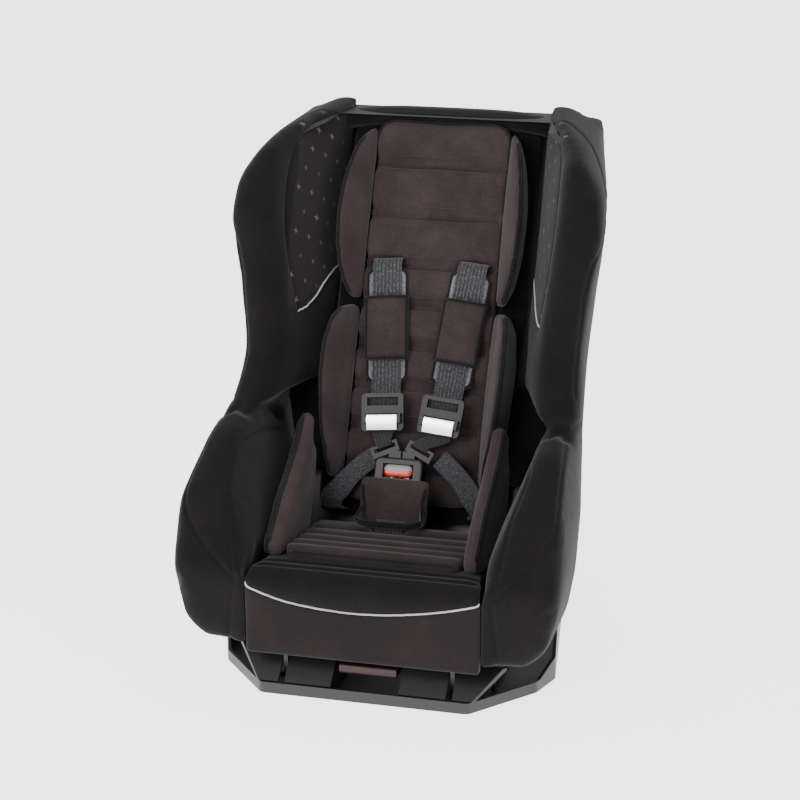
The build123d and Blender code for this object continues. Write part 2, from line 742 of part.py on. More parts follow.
def make_adjuster_frame(side):
    """Three-bar slide with two cheeks for the cam lever's pin."""
    plate = box((-ADJ_W / 2, ADJ_W / 2), (-ADJ_H / 2, ADJ_H / 2), (ADJ_FLOOR, ADJ_FLOOR + ADJ_T))
    plate = fillet(plate.edges().filter_by(Axis.Z), 5)
    half = STRAP_WIDTH / 2 + 1
    for b0, b1 in ((8, 18), (-18, -2)):
        plate -= box((-half, half), (b0, b1), (0, FAR))
    for side_x in (-1, 1):
        x0, x1 = sorted((side_x * (half + 0.4), side_x * (half + 4.4)))
        plate += box((x0, x1), (LEVER_B - 6, LEVER_B + 6), (ADJ_FLOOR + ADJ_T, LEVER_Z + 4))
    plate -= Pos(0, LEVER_B, LEVER_Z) * Rot(0, 90, 0) * Cylinder(PIN_R, FAR)
    return adj_frame(side) * plate


def make_cam_lever(side):
    """Bright lever that clamps the strap; its lower edge lifts to release it."""
    half = STRAP_WIDTH / 2 + 0.6
    face = outline([(LEVER_B + 4, LEVER_Z - 3), (LEVER_B + 4, LEVER_Z + 3), (LEVER_B - 3, LEVER_Z + 4),
                    (-ADJ_H / 2 + 1, LEVER_Z + 1.5), (-ADJ_H / 2 + 1, LEVER_Z - 0.6),
                    (LEVER_B - 4, LEVER_Z - 1.4)])
    lever = across(face, -half, half)
    lever -= Pos(0, LEVER_B, LEVER_Z) * Rot(0, 90, 0) * Cylinder(PIN_R + PIN_CLEAR, FAR)
    return adj_frame(side) * lever


def make_lever_pin(side):
    half = STRAP_WIDTH / 2 + 5.4
    return adj_frame(side) * Pos(0, LEVER_B, LEVER_Z) * Rot(0, 90, 0) * Cylinder(PIN_R, 2 * half)


TONGUE_W = 57             # underside of the tongue blades
BLADE_T = 2
TONGUE_LEAN = 25
TONGUE_HEAD_V = BUCKLE_V + BUCKLE_H / 2 + 9


def tongue_frame(side):
    """Frame of the slotted head of one tongue."""
    return BACK * Location((BUCKLE_X + side * 21, TONGUE_HEAD_V, 0), (0, 0, -side * TONGUE_LEAN))


def make_tongue(side):
    """Buckle tongue: a blade with a latch hole and a slotted head for the webbing."""
    x0, x1 = sorted((BUCKLE_X + side * 1, BUCKLE_X + side * 16))
    blade = BACK * box((x0, x1), (BUCKLE_V - 10, TONGUE_HEAD_V), (TONGUE_W, TONGUE_W + BLADE_T))
    head = box((-17, 17), (-6, 8), (TONGUE_W, TONGUE_W + BLADE_T))
    head -= box((-13.5, 13.5), (0, 5), (0, FAR))
    hole = BACK * box(span(BUCKLE_X + side * 8.5, 8), (BUCKLE_V - 5, BUCKLE_V + 3), (0, FAR))
    middle = BACK * box(sorted((BUCKLE_X + side * 0.6, side * FAR)), (0, FAR), (0, FAR))
    return (blade - hole) + ((tongue_frame(side) * head) & middle)


def make_lower_strap(side):
    """Webbing from the adjuster down to the tongue."""
    level = TONGUE_W + BLADE_T + STRAP_T / 2 + GAP
    start = (side * (ADJ_X - 2), ADJ_V - ADJ_H / 2 - 9, level)
    end = (BUCKLE_X + side * 22, TONGUE_HEAD_V + 3, level)
    return BACK * flat_run(start, end, LOWER_STRAP_WIDTH)


def flat_run(start, end, width):
    """Straight strap between two points given as (x, v, w)."""
    dx, dv, dw = (e - s for s, e in zip(start, end))
    flat = hypot(dx, dv)
    turn = degrees(atan2(dv, dx))
    tilt = degrees(atan2(dw, flat))
    middle = [(s + e) / 2 for s, e in zip(start, end)]
    return Pos(*middle) * Rot(0, 0, turn) * Rot(0, -tilt, 0) * Box(hypot(flat, dw), width, STRAP_T)


def make_lap_strap(side):
    """Webbing from the hip slot up to the tongue."""
    half = STRAP_WIDTH / 2
    inside = box((side * LAP_X - half, side * LAP_X + half), (LAP_V - STRAP_T / 2, LAP_V + STRAP_T / 2),
                 (-SHELL_WALL, CHILD_W + 8))
    start = (side * (LAP_X + 6), LAP_V + 4, CHILD_W + 8)
    end = (BUCKLE_X + side * 38, TONGUE_HEAD_V - 2, TONGUE_W - 2)
    return BACK * (inside + flat_run(start, end, 24))


def make_buckle_back():
    """Lower half of the buckle housing, a tray open towards the child."""
    outer = box(span(BUCKLE_X, BUCKLE_W), span(BUCKLE_V, BUCKLE_H), (BUCKLE_FLOOR, BUCKLE_FLOOR + 10))
    outer = fillet(outer.edges().filter_by(Axis.Z), 8)
    pocket = box(span(BUCKLE_X, BUCKLE_W - 12), span(BUCKLE_V, BUCKLE_H - 2 * (BUCKLE_WALL + 2)),
                 (BUCKLE_FLOOR + BUCKLE_WALL, FAR))
    mouth = box((BUCKLE_X - 18, BUCKLE_X + 18), (BUCKLE_V, FAR), (TONGUE_W - 0.5, FAR))
    return BACK * (outer - pocket - mouth)


def make_buckle_front():
    """Upper half of the buckle housing with the button's window."""
    low = BUCKLE_FLOOR + 10
    outer = box(span(BUCKLE_X, BUCKLE_W), span(BUCKLE_V, BUCKLE_H), (low, BUCKLE_TOP))
    outer = fillet(outer.edges().filter_by(Axis.Z), 8)
    outer = fillet(outer.faces().sort_by(Axis.Z)[-1].edges(), 3)
    pocket = box(span(BUCKLE_X, BUCKLE_W - 12), span(BUCKLE_V, BUCKLE_H - 10),
                 (0, BUCKLE_TOP - BUCKLE_WALL - 1))
    half, high = BUTTON_W / 2 + GAP, BUTTON_H / 2 + GAP
    window = box((BUCKLE_X - half, BUCKLE_X + half), (BUTTON_V - high, BUTTON_V + high), (0, FAR))
    mouth = box((BUCKLE_X - 18, BUCKLE_X + 18), (BUCKLE_V, FAR), (0, TONGUE_W + BLADE_T + 0.5))
    return BACK * (outer - pocket - window - mouth)


BUTTON_V = BUCKLE_V + 8
BUTTON_LOW = TONGUE_W + BLADE_T + 0.4 + BUTTON_TRAVEL


def make_release_button():
    cap = box(span(BUCKLE_X, BUTTON_W), span(BUTTON_V, BUTTON_H), (BUTTON_LOW, BUCKLE_TOP + 0.6))
    cap = fillet(cap.edges().filter_by(Axis.Z), 4)
    return BACK * cap


def make_buckle_frame():
    """Steel plate that carries the latch and the tongues' pull."""
    plate = box((BUCKLE_X - 22, BUCKLE_X + 22), (BUCKLE_V - BUCKLE_H / 2 + 5, BUCKLE_V + BUCKLE_H / 2 - 5),
                (TONGUE_W - 3.5, TONGUE_W - 0.4))
    plate -= box((BUCKLE_X - 16, BUCKLE_X + 16), (BUCKLE_V - 9, BUCKLE_V + 7), (0, FAR))
    return BACK * plate


def make_buckle_latch():
    """Latch with one peg through the hole of each tongue; the button drives it back."""
    low = BUCKLE_FLOOR + BUCKLE_WALL + BUTTON_TRAVEL * LATCH_SHARE + GAP
    latch = box((BUCKLE_X - 14, BUCKLE_X + 14), (BUCKLE_V - 8, BUCKLE_V + 6), (low, low + 1.6))
    for _, side in SIDES:
        x = BUCKLE_X + side * 8.5
        latch += box((x - 3, x + 3), (BUCKLE_V - 4, BUCKLE_V + 2), (low, TONGUE_W - GAP))
    return BACK * latch


def make_crotch_strap():
    """Short webbing from its anchor under the pan up to the buckle."""
    half = STRAP_WIDTH / 2
    foot_y, foot_z = pan_point(CROTCH_U, -SHELL_WALL)
    up_y, up_z = pan_point(CROTCH_U, CHILD_W + 6)
    end_y, end_z = back_point(BUCKLE_V - BUCKLE_H / 2 - 0.8, BUCKLE_FLOOR + 5)
    line = [(foot_y, foot_z), (up_y, up_z), (end_y, end_z)]
    strap = None
    for (y0, z0), (y1, z1) in zip(line, line[1:]):
        run = hypot(y1 - y0, z1 - z0)
        turn = degrees(atan2(z1 - z0, y1 - y0))
        plate = Pos(BUCKLE_X, (y0 + y1) / 2, (z0 + z1) / 2) * Rot(turn, 0, 0) * Box(2 * half, run, STRAP_T)
        strap = plate if strap is None else strap + plate
    return strap


def make_crotch_pad():
    """Padded flap over the crotch strap and the foot of the buckle."""
    top = BUTTON_V - BUTTON_H / 2 - 2
    ahead = CROTCH_U + 16
    face = outline([
        back_point(top, BUCKLE_TOP + 0.5),
        back_point(top, BUCKLE_TOP + 10),
        back_point(top - 5, BUCKLE_TOP + 13.5),
        pan_point(ahead, CHILD_W + 10.8),
        pan_point(ahead + 1.3, CHILD_W + 2.9),
        pan_point(ahead - 8.2, CHILD_W + 1.6),
    ])
    return across(face, BUCKLE_X - CROTCH_PAD_W / 2, BUCKLE_X + CROTCH_PAD_W / 2)


def make_anchor_plates():
    """Steel plates behind the shell that the shoulder straps hook on."""
    plates = []
    for _, side in SIDES:
        w = -SHELL_WALL - RIB_DEPTH - 6 - STRAP_T / 2 - GAP
        plates.append(strap_frame(side) * box((-26, 26), (-66, -46), (w - 2.5, w)))
    return Compound(children=plates)


def make_strap_anchors():
    """Steel bars outside the shell across the hip and crotch slots."""
    bars = []
    for _, side in SIDES:
        w = -SHELL_WALL - GAP
        bars.append(BACK * box(span(side * LAP_X, 54), span(LAP_V, 12), (w - 2.5, w)))
    low = -SHELL_WALL - GAP
    bars.append(PAN * box((BUCKLE_X - 27, BUCKLE_X + 27), (-CROTCH_U - 6, -CROTCH_U + 6), (low - 2.5, low)))
    return Compound(children=bars)


# ---- vehicle belt clamps ---------------------------------------------------------------
CLAMP_X, CLAMP_V = 149, 232


def make_clamp_bracket(side):
    """Ears on the back of the shell beside the belt opening."""
    w1 = -SHELL_WALL
    bracket = BACK * box(span(CLAMP_X, 38), span(CLAMP_V, 12), (w1 - 2.5, w1))
    for x in (CLAMP_X - 19, CLAMP_X + 16):
        bracket += BACK * box((x, x + 3), span(CLAMP_V, 12), (w1 - 11, w1))
    bracket -= clamp_axis(PIN_R)
    return side_of(bracket, side)


def clamp_axis(radius):
    return BACK * Pos(CLAMP_X, CLAMP_V, -SHELL_WALL - 7) * Rot(0, 90, 0) * Cylinder(radius, 38)


def make_clamp_pin(side):
    return side_of(clamp_axis(PIN_R), side)


def make_belt_clamp(side):
    """Hinged jaw that pinches the vehicle belt against the shell."""
    w1 = -SHELL_WALL
    face = outline([(CLAMP_V, w1 - 10.4), (CLAMP_V, w1 - 3.6), (CLAMP_V - 50, w1 - 2.4),
                    (CLAMP_V - 58, w1 - 9)])
    jaw = BACK * across(face, CLAMP_X - 15.5, CLAMP_X + 15.5)
    jaw += BACK * Pos(CLAMP_X, CLAMP_V, w1 - 7) * Rot(0, 90, 0) * Cylinder(3.6, 31)
    jaw -= clamp_axis(PIN_R + PIN_CLEAR)
    return side_of(jaw, side)


def build():
    write("base_tray", make_base_tray())
    write("base_screws", make_base_screws())
    write("shell", make_shell())
    write("guide_rods", Compound(children=[make_guide_rod(y, z) for y, z in rod_places()]))
    write("rack_plates", pair(make_rack_plate))
    write("slide_rails", pair(make_slide_rail))
    write("latch_springs", pair(make_latch_spring))
    write("clamp_brackets", pair(make_clamp_bracket))
    write("clamp_pins", pair(make_clamp_pin))
    write("rod_caps", make_rod_caps())
    write("recline_handle", make_recline_handle())
    write("handle_pivot_pin", make_pivot_pin())
    write("latch_bar", make_latch_bar())
    write("foam_back", make_foam_back())
    write("foam_seat", make_foam_seat())
    write("cover_seat", make_cover_seat())
    write("insert_back", make_insert_back())
    write("insert_seat", make_insert_seat())
    outer, zone = body(0), shell_zone()
    write("cover_back", make_cover_back(outer, zone))
    for name, side in SIDES:
        write(f"track_cheek_{name}", make_track_cheek(side))
        write(f"cover_wing_{name}", make_wing(side, outer, zone))
        write(f"cover_armrest_{name}", make_armrest(side, outer, zone))
        write(f"insert_head_wing_{name}", make_head_wing(side))
        write(f"insert_lumbar_bolster_{name}", make_lumbar_bolster(side))
        write(f"insert_thigh_bolster_{name}", make_thigh_bolster(side))
        write(f"shoulder_strap_{name}", make_shoulder_strap(side))
        write(f"shoulder_pad_{name}", make_shoulder_pad(side))
        write(f"pad_sleeve_{name}", make_pad_sleeve(side))
        write(f"adjuster_frame_{name}", make_adjuster_frame(side))
        write(f"cam_lever_{name}", make_cam_lever(side))
        write(f"lever_pin_{name}", make_lever_pin(side))
        write(f"lower_strap_{name}", make_lower_strap(side))
        write(f"lap_strap_{name}", make_lap_strap(side))
        write(f"buckle_tongue_{name}", make_tongue(side))
        write(f"belt_clamp_{name}", make_belt_clamp(side))
    write("buckle_back", make_buckle_back())
    write("buckle_front", make_buckle_front())
    write("buckle_frame", make_buckle_frame())
    write("buckle_latch", make_buckle_latch())
    write("release_button", make_release_button())
    write("crotch_strap", make_crotch_strap())
    write("crotch_pad", make_crotch_pad())
    write("shoulder_anchor_plates", make_anchor_plates())
    write("strap_anchor_bars", make_strap_anchors())
    print(len(written), "nodes")


build()
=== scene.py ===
"""Looks of a convertible child car seat: padded covers, infant insert, harness, shell and base."""
import json
import math

import bmesh
import bpy
import numpy as np
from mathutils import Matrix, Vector, noise
from mathutils.bvhtree import BVHTree


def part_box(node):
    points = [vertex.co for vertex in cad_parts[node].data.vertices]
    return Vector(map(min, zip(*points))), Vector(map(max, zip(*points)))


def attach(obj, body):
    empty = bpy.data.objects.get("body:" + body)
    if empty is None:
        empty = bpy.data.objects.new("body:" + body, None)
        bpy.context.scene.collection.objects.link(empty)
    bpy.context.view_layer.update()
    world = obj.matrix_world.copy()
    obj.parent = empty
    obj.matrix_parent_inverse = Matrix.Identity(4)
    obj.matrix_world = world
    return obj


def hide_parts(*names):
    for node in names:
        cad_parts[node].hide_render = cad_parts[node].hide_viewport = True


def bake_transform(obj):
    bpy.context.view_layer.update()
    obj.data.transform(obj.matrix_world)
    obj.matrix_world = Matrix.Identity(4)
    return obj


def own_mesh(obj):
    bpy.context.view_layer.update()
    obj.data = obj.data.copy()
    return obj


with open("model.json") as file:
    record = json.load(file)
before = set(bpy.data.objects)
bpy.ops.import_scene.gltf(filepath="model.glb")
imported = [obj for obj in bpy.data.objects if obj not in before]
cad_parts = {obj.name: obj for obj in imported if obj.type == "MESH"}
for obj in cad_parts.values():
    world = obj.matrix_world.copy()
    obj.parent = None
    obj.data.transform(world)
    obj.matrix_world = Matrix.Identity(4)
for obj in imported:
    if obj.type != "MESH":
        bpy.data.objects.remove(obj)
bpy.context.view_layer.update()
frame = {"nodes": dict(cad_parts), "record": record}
NODES = frame["nodes"]
MM = 0.001
SIDES = (("left", 1), ("right", -1))

# ---- the seat's own directions -----------------------------------------------------
BIGHT = Vector((0.0, -0.012, 0.104))             # where the backrest meets the seat pan
LEAN, RISE = math.radians(25), math.radians(8)
UP_BACK = Vector((0, math.sin(LEAN), math.cos(LEAN)))
OFF_BACK = Vector((0, -math.cos(LEAN), math.sin(LEAN)))
ALONG_PAN = Vector((0, -math.cos(RISE), math.sin(RISE)))
OFF_PAN = Vector((0, math.sin(RISE), math.cos(RISE)))
STRAP_LEAN = math.radians(5.38)                  # shoulder straps close in towards the buckle
SLOT_X, SLOT_V = 54, 349


def on_back(x, v, w):
    """Point x across, v up the backrest and w off the shell, in millimetres."""
    return BIGHT + Vector((x * MM, 0, 0)) + UP_BACK * v * MM + OFF_BACK * w * MM


def on_pan(x, u, w):
    """Point x across, u forward along the seat pan and w above the shell."""
    return BIGHT + Vector((x * MM, 0, 0)) + ALONG_PAN * u * MM + OFF_PAN * w * MM


def on_strap(side, a, b, w):
    """Point a across a shoulder strap, b along it from its slot and w off the shell."""
    cos, sin = math.cos(STRAP_LEAN), side * math.sin(STRAP_LEAN)
    return on_back(side * SLOT_X + a * cos + b * sin, SLOT_V - a * sin + b * cos, w)


def in_back(co):
    """Columns x, v, w of an array of points, in millimetres."""
    d = (co - np.array(BIGHT)) / MM
    return d[:, 0], d @ np.array(UP_BACK), d @ np.array(OFF_BACK)


def in_pan(co):
    d = (co - np.array(BIGHT)) / MM
    return d[:, 0], d @ np.array(ALONG_PAN), d @ np.array(OFF_PAN)


# ---- meshes ------------------------------------------------------------------------
def new_piece(name, bm):
    mesh = bpy.data.meshes.new(name)
    bm.to_mesh(mesh)
    bm.free()
    piece = bpy.data.objects.new(name, mesh)
    bpy.context.scene.collection.objects.link(piece)
    return piece


def settle(piece):
    """Applies the piece's modifiers."""
    graph = bpy.context.evaluated_depsgraph_get()
    mesh = bpy.data.meshes.new_from_object(piece.evaluated_get(graph), preserve_all_data_layers=True,
                                           depsgraph=graph)
    piece.modifiers.clear()
    piece.data = mesh
    return piece


def modify(piece, kind, **settings):
    modifier = piece.modifiers.new(kind.lower(), kind)
    for key, value in settings.items():
        setattr(modifier, key, value)
    return modifier


def points_of(piece):
    co = np.empty(len(piece.data.vertices) * 3)
    piece.data.vertices.foreach_get("co", co)
    return co.reshape(-1, 3)


def normals_of(piece):
    no = np.empty(len(piece.data.vertices) * 3)
    piece.data.vertex_normals.foreach_get("vector", no)
    return no.reshape(-1, 3)


def move_points(piece, co):
    piece.data.vertices.foreach_set("co", np.asarray(co, float).ravel())
    piece.data.update()


def solid_of(name, *nodes, shift=None):
    """Merged copy of CAD nodes as one new piece; shift moves a node's points a little first."""
    bm = bmesh.new()
    for node in nodes:
        bm.from_mesh(NODES[node].data)
    bmesh.ops.remove_doubles(bm, verts=bm.verts, dist=1e-5)
    if shift:
        for v in bm.verts:
            v.co = shift(v.co)
    return new_piece(name, bm)


def loft(name, rings):
    """Closed solid through rings of the same number of points."""
    bm = bmesh.new()
    loops = []
    for ring in rings:
        verts = [bm.verts.new(p) for p in ring]
        loops.append([bm.edges.new((a, b)) for a, b in zip(verts, verts[1:] + verts[:1])])
    for low, high in zip(loops, loops[1:]):
        bmesh.ops.bridge_loops(bm, edges=low + high)
    bmesh.ops.holes_fill(bm, edges=loops[0] + loops[-1], sides=0)
    bmesh.ops.recalc_face_normals(bm, faces=bm.faces)
    return new_piece(name, bm)


def voxelise(piece, size):
    modify(piece, "REMESH", mode="VOXEL", voxel_size=size * MM)
    return settle(piece)


def relax(piece, rounds, held=None, share=0.6):
    """Rounds the form by moving each point towards its neighbours; held is 1 where it stays."""
    edges = np.empty(len(piece.data.edges) * 2, int)
    piece.data.edges.foreach_get("vertices", edges)
    a, b = edges.reshape(-1, 2).T
    co = points_of(piece)
    count = np.bincount(np.r_[a, b], minlength=len(co))[:, None].clip(1)
    free = share * (1 - (held if held is not None else np.zeros(len(co))))[:, None]
    for _ in range(rounds):
        total = np.zeros_like(co)
        for axis in range(3):
            total[:, axis] = np.bincount(np.r_[a, b], np.r_[co[b, axis], co[a, axis]], len(co))
        co += (total / count - co) * free
    move_points(piece, co)
    return piece


def distance_to(co, path):
    """Distance of each point from a run of points."""
    best = np.full(len(co), 1e9)
    path = [np.array(p, float) for p in path]
    for a, b in zip(path, path[1:]):
        d = b - a
        t = np.clip(((co - a) @ d) / (d @ d), 0, 1)
        best = np.minimum(best, np.linalg.norm(co - a - t[:, None] * d, axis=1))
    return best


def nearest(co, paths):
    if not paths:
        return np.full(len(co), 1e9)
    return np.min([distance_to(co, p) for p in paths], axis=0)


def groove(piece, paths, depth, width, ridge=0.0):
    """Pulls the surface in along sewn lines; ridge leaves a narrow roll down their middle."""
    co, no = points_of(piece), normals_of(piece)
    d = nearest(co, paths) / MM
    if ridge:
        pull = np.exp(-((d - ridge) / width) ** 2)
    else:
        pull = np.exp(-(d / width) ** 2)
    move_points(piece, co - no * (depth * MM * pull)[:, None])
    return piece


def puff(piece, cap, paths=(), pressure=4.0, reach=3.0, held=None):
    """Blows the cloth up between its sewn lines, and lets no point move further than cap."""
    rest = points_of(piece)
    pins = piece.vertex_groups.new(name="sewn")
    sewn = nearest(rest, paths) < reach * MM
    if held is not None:
        sewn |= held
    for i in np.nonzero(sewn)[0]:
        pins.add([int(i)], 1.0, "REPLACE")
    cloth = modify(piece, "CLOTH")
    cloth.settings.use_pressure = True
    cloth.settings.uniform_pressure_force = pressure
    cloth.settings.effector_weights.gravity = 0
    cloth.settings.quality = 4
    cloth.settings.vertex_group_mass = "sewn"
    cloth.collision_settings.use_collision = False
    cloth.point_cache.frame_start, cloth.point_cache.frame_end = 1, 20
    scene = bpy.context.scene
    for f in range(1, 21):
        scene.frame_set(f)
    graph = bpy.context.evaluated_depsgraph_get()
    blown = np.empty(rest.size)
    piece.evaluated_get(graph).data.vertices.foreach_get("co", blown)
    move = np.nan_to_num(blown.reshape(-1, 3) - rest)
    size = np.linalg.norm(move, axis=1, keepdims=True).clip(1e-9)
    piece.modifiers.clear()
    piece.vertex_groups.clear()
    scene.frame_set(1)
    move_points(piece, rest + move / size * np.tanh(size / (cap * MM)) * cap * MM)
    return piece


def finer(piece, levels=1):
    modify(piece, "SUBSURF", levels=levels, render_levels=levels)
    settle(piece)
    for face in piece.data.polygons:
        face.use_smooth = True
    return piece


def tree_of(piece):
    graph = bpy.context.evaluated_depsgraph_get()
    return BVHTree.FromObject(piece, graph)


def keep_off(piece, others, gap):
    """Moves points that lie in or within gap of the other pieces back out of them."""
    co = points_of(piece)
    reach = 5.0 * MM
    for other in others:
        tree = tree_of(other)
        for i, p in enumerate(co):
            spot, normal, _, away = tree.find_nearest(Vector(p), reach)
            if spot is None:
                continue
            out = (Vector(p) - spot).dot(normal)
            if out < gap * MM and abs(out) > 0.8 * away:
                co[i] = spot + normal * gap * MM
    move_points(piece, co)
    return piece


def smooth_run(points, step):
    """Even points, step millimetres apart, on a smooth line through the given ones."""
    p = [Vector(q) for q in points]
    p = [p[0] * 2 - p[1]] + p + [p[-1] * 2 - p[-2]]
    fine = []
    for a, b, c, d in zip(p, p[1:], p[2:], p[3:]):
        for k in range(24):
            t = k / 24
            fine.append(0.5 * ((2 * b) + (c - a) * t + (2 * a - 5 * b + 4 * c - d) * t ** 2
                               + (3 * b - a - 3 * c + d) * t ** 3))
    fine.append(p[-2])
    lengths = np.r_[0, np.cumsum([(b - a).length for a, b in zip(fine, fine[1:])])]
    count = max(2, int(lengths[-1] / (step * MM)) + 1)
    at = np.linspace(0, lengths[-1], count)
    fine = np.array([list(q) for q in fine])
    return [Vector([np.interp(s, lengths, fine[:, k]) for k in range(3)]) for s in at]


def onto(points, piece, lift=0.0):
    """The points moved to the nearest place on a piece."""
    tree = tree_of(piece)
    out = []
    for p in points:
        spot, normal, _, _ = tree.find_nearest(p)
        out.append(spot + normal * lift * MM if spot is not None else p)
    return out


def tube(name, runs, radius, sides=8, closed=False):
    """Piping: a round roll along each run of points."""
    bm = bmesh.new()
    for run in runs:
        loops = []
        count = len(run)
        for i, p in enumerate(run):
            if closed:
                ahead, behind = run[(i + 1) % count], run[i - 1]
            else:
                ahead, behind = run[min(i + 1, count - 1)], run[max(i - 1, 0)]
            turn = (ahead - behind).to_track_quat("Z", "Y")
            r = radius * MM * (0.35 if not closed and i in (0, count - 1) else 1)
            verts = [bm.verts.new(p + turn @ Vector((r * math.cos(k * math.tau / sides),
                                                     r * math.sin(k * math.tau / sides), 0)))
                     for k in range(sides)]
            loops.append([bm.edges.new((a, b)) for a, b in zip(verts, verts[1:] + verts[:1])])
        pairs = zip(loops, loops[1:] + loops[:1]) if closed else zip(loops, loops[1:])
        for low, high in pairs:
            bmesh.ops.bridge_loops(bm, edges=low + high)
        if not closed:
            bmesh.ops.holes_fill(bm, edges=loops[0] + loops[-1], sides=0)
    bmesh.ops.recalc_face_normals(bm, faces=bm.faces)
    for face in bm.faces:
        face.smooth = True
    return new_piece(name, bm)


def ribbon(name, stations, width, thickness, across=6, widths=None):
    """Flat webbing through stations of (point, across direction); its UV map is in metres."""
    bm = bmesh.new()
    bm.loops.layers.uv.new("UVMap")
    count = len(stations)
    bmesh.ops.create_grid(bm, x_segments=count - 1, y_segments=across, size=0.5, calc_uvs=True)
    lengths = np.r_[0, np.cumsum([(b[0] - a[0]).length for a, b in zip(stations, stations[1:])])]
    uv = bm.loops.layers.uv.active
    for face in bm.faces:
        for loop in face.loops:
            i = int(round((loop.vert.co.x + 0.5) * (count - 1)))
            loop[uv].uv = (lengths[i], loop.vert.co.y * width * MM)
    for v in bm.verts:
        i = int(round((v.co.x + 0.5) * (count - 1)))
        point, side = stations[i]
        wide = widths[i] if widths else width
        v.co = point + side * v.co.y * wide * MM
    piece = new_piece(name, bm)
    modify(piece, "SOLIDIFY", thickness=thickness * MM, offset=0.0)
    modify(piece, "BEVEL", width=0.3 * thickness * MM, segments=2, limit_method="ANGLE")
    settle(piece)
    for face in piece.data.polygons:
        face.use_smooth = True
    return piece


# ---- materials ---------------------------------------------------------------------
def ink(code):
    """sRGB hex to linear."""
    parts = [int(code[i:i + 2], 16) / 255 for i in (1, 3, 5)]
    return (*[c / 12.92 if c <= 0.04045 else ((c + 0.055) / 1.055) ** 2.4 for c in parts], 1.0)


def put(tree, kind, sockets=None, **settings):
    """Adds one node with its settings, values and links."""
    node = tree.nodes.new(kind)
    for key, value in settings.items():
        setattr(node, key, value)
    for key, value in (sockets or {}).items():
        if isinstance(value, bpy.types.NodeSocket):
            tree.links.new(value, node.inputs[key])
        else:
            node.inputs[key].default_value = value
    return node


def blank(name):
    material = bpy.data.materials.new(name)
    material.use_nodes = True
    tree = material.node_tree
    return material, tree, tree.nodes["Principled BSDF"]


def ramp(tree, factor, stops):
    node = put(tree, "ShaderNodeValToRGB", {"Fac": factor})
    while len(node.color_ramp.elements) < len(stops):
        node.color_ramp.elements.new(0.5)
    for element, (at, code) in zip(node.color_ramp.elements, stops):
        element.position, element.color = at, ink(code)
    return node.outputs["Color"]


def knit(name, dark, middle, light, thread, sheen=0.35, rough=0.85, bump=0.25, nap=0.5, zone=None):
    """Polyester upholstery knit: fine rows of loops, a soft nap that catches light at the edges,
    and slow cloudy changes of tone where hands and bodies have brushed it."""
    material, tree, shader = blank(name)
    place = put(tree, "ShaderNodeTexCoord").outputs["Object"]
    cloud = put(tree, "ShaderNodeTexNoise", {"Vector": place, "Scale": 22.0, "Detail": 3.0,
                                             "Roughness": 0.55})
    fuzz = put(tree, "ShaderNodeTexNoise", {"Vector": place, "Scale": 1000 / (thread * 1.7), "Detail": 2.0})
    mixed = put(tree, "ShaderNodeMath", {0: cloud.outputs["Fac"], 1: fuzz.outputs["Fac"]}, operation="ADD")
    tone = put(tree, "ShaderNodeMath", {0: mixed.outputs[0], 1: 0.5}, operation="MULTIPLY")
    colour = ramp(tree, tone.outputs[0], [(0.36, dark), (0.5, middle), (0.64, light)])
    if zone:
        colour = zone(tree, place, colour)
    tree.links.new(colour, shader.inputs["Base Color"])
    loops = put(tree, "ShaderNodeTexVoronoi", {"Vector": place, "Scale": 1000 / thread})
    grain = put(tree, "ShaderNodeMath", {0: loops.outputs["Distance"], 1: fuzz.outputs["Fac"]},
                operation="ADD")
    relief = put(tree, "ShaderNodeBump", {"Height": grain.outputs[0], "Strength": bump,
                                          "Distance": thread * 0.35 * MM})
    tree.links.new(relief.outputs[0], shader.inputs["Normal"])
    roughness = put(tree, "ShaderNodeMapRange", {"Value": cloud.outputs["Fac"], "To Min": rough - 0.06,
                                                 "To Max": min(1.0, rough + 0.06)})
    tree.links.new(roughness.outputs[0], shader.inputs["Roughness"])
    shader.inputs["Sheen Weight"].default_value = sheen
    shader.inputs["Sheen Roughness"].default_value = nap
    shader.inputs["Specular IOR Level"].default_value = 0.1
    return material


def moulded(name, dark, light, rough, grain_mm, bump, specular=0.5):
    """Injection-moulded polypropylene: spark-eroded grain and faint flow marks."""
    material, tree, shader = blank(name)
    place = put(tree, "ShaderNodeTexCoord").outputs["Object"]
    flow = put(tree, "ShaderNodeTexNoise", {"Vector": place, "Scale": 14.0, "Detail": 4.0})
    colour = ramp(tree, flow.outputs["Fac"], [(0.35, dark), (0.7, light)])
    tree.links.new(colour, shader.inputs["Base Color"])
    grain = put(tree, "ShaderNodeTexNoise", {"Vector": place, "Scale": 1000 / grain_mm, "Detail": 2.0})
    relief = put(tree, "ShaderNodeBump", {"Height": grain.outputs["Fac"], "Strength": bump,
                                          "Distance": 0.25 * grain_mm * MM})
    tree.links.new(relief.outputs[0], shader.inputs["Normal"])
    roughness = put(tree, "ShaderNodeMapRange", {"Value": flow.outputs["Fac"], "To Min": rough - 0.07,
                                                 "To Max": rough + 0.07})
    tree.links.new(roughness.outputs[0], shader.inputs["Roughness"])
    shader.inputs["Specular IOR Level"].default_value = specular
    return material


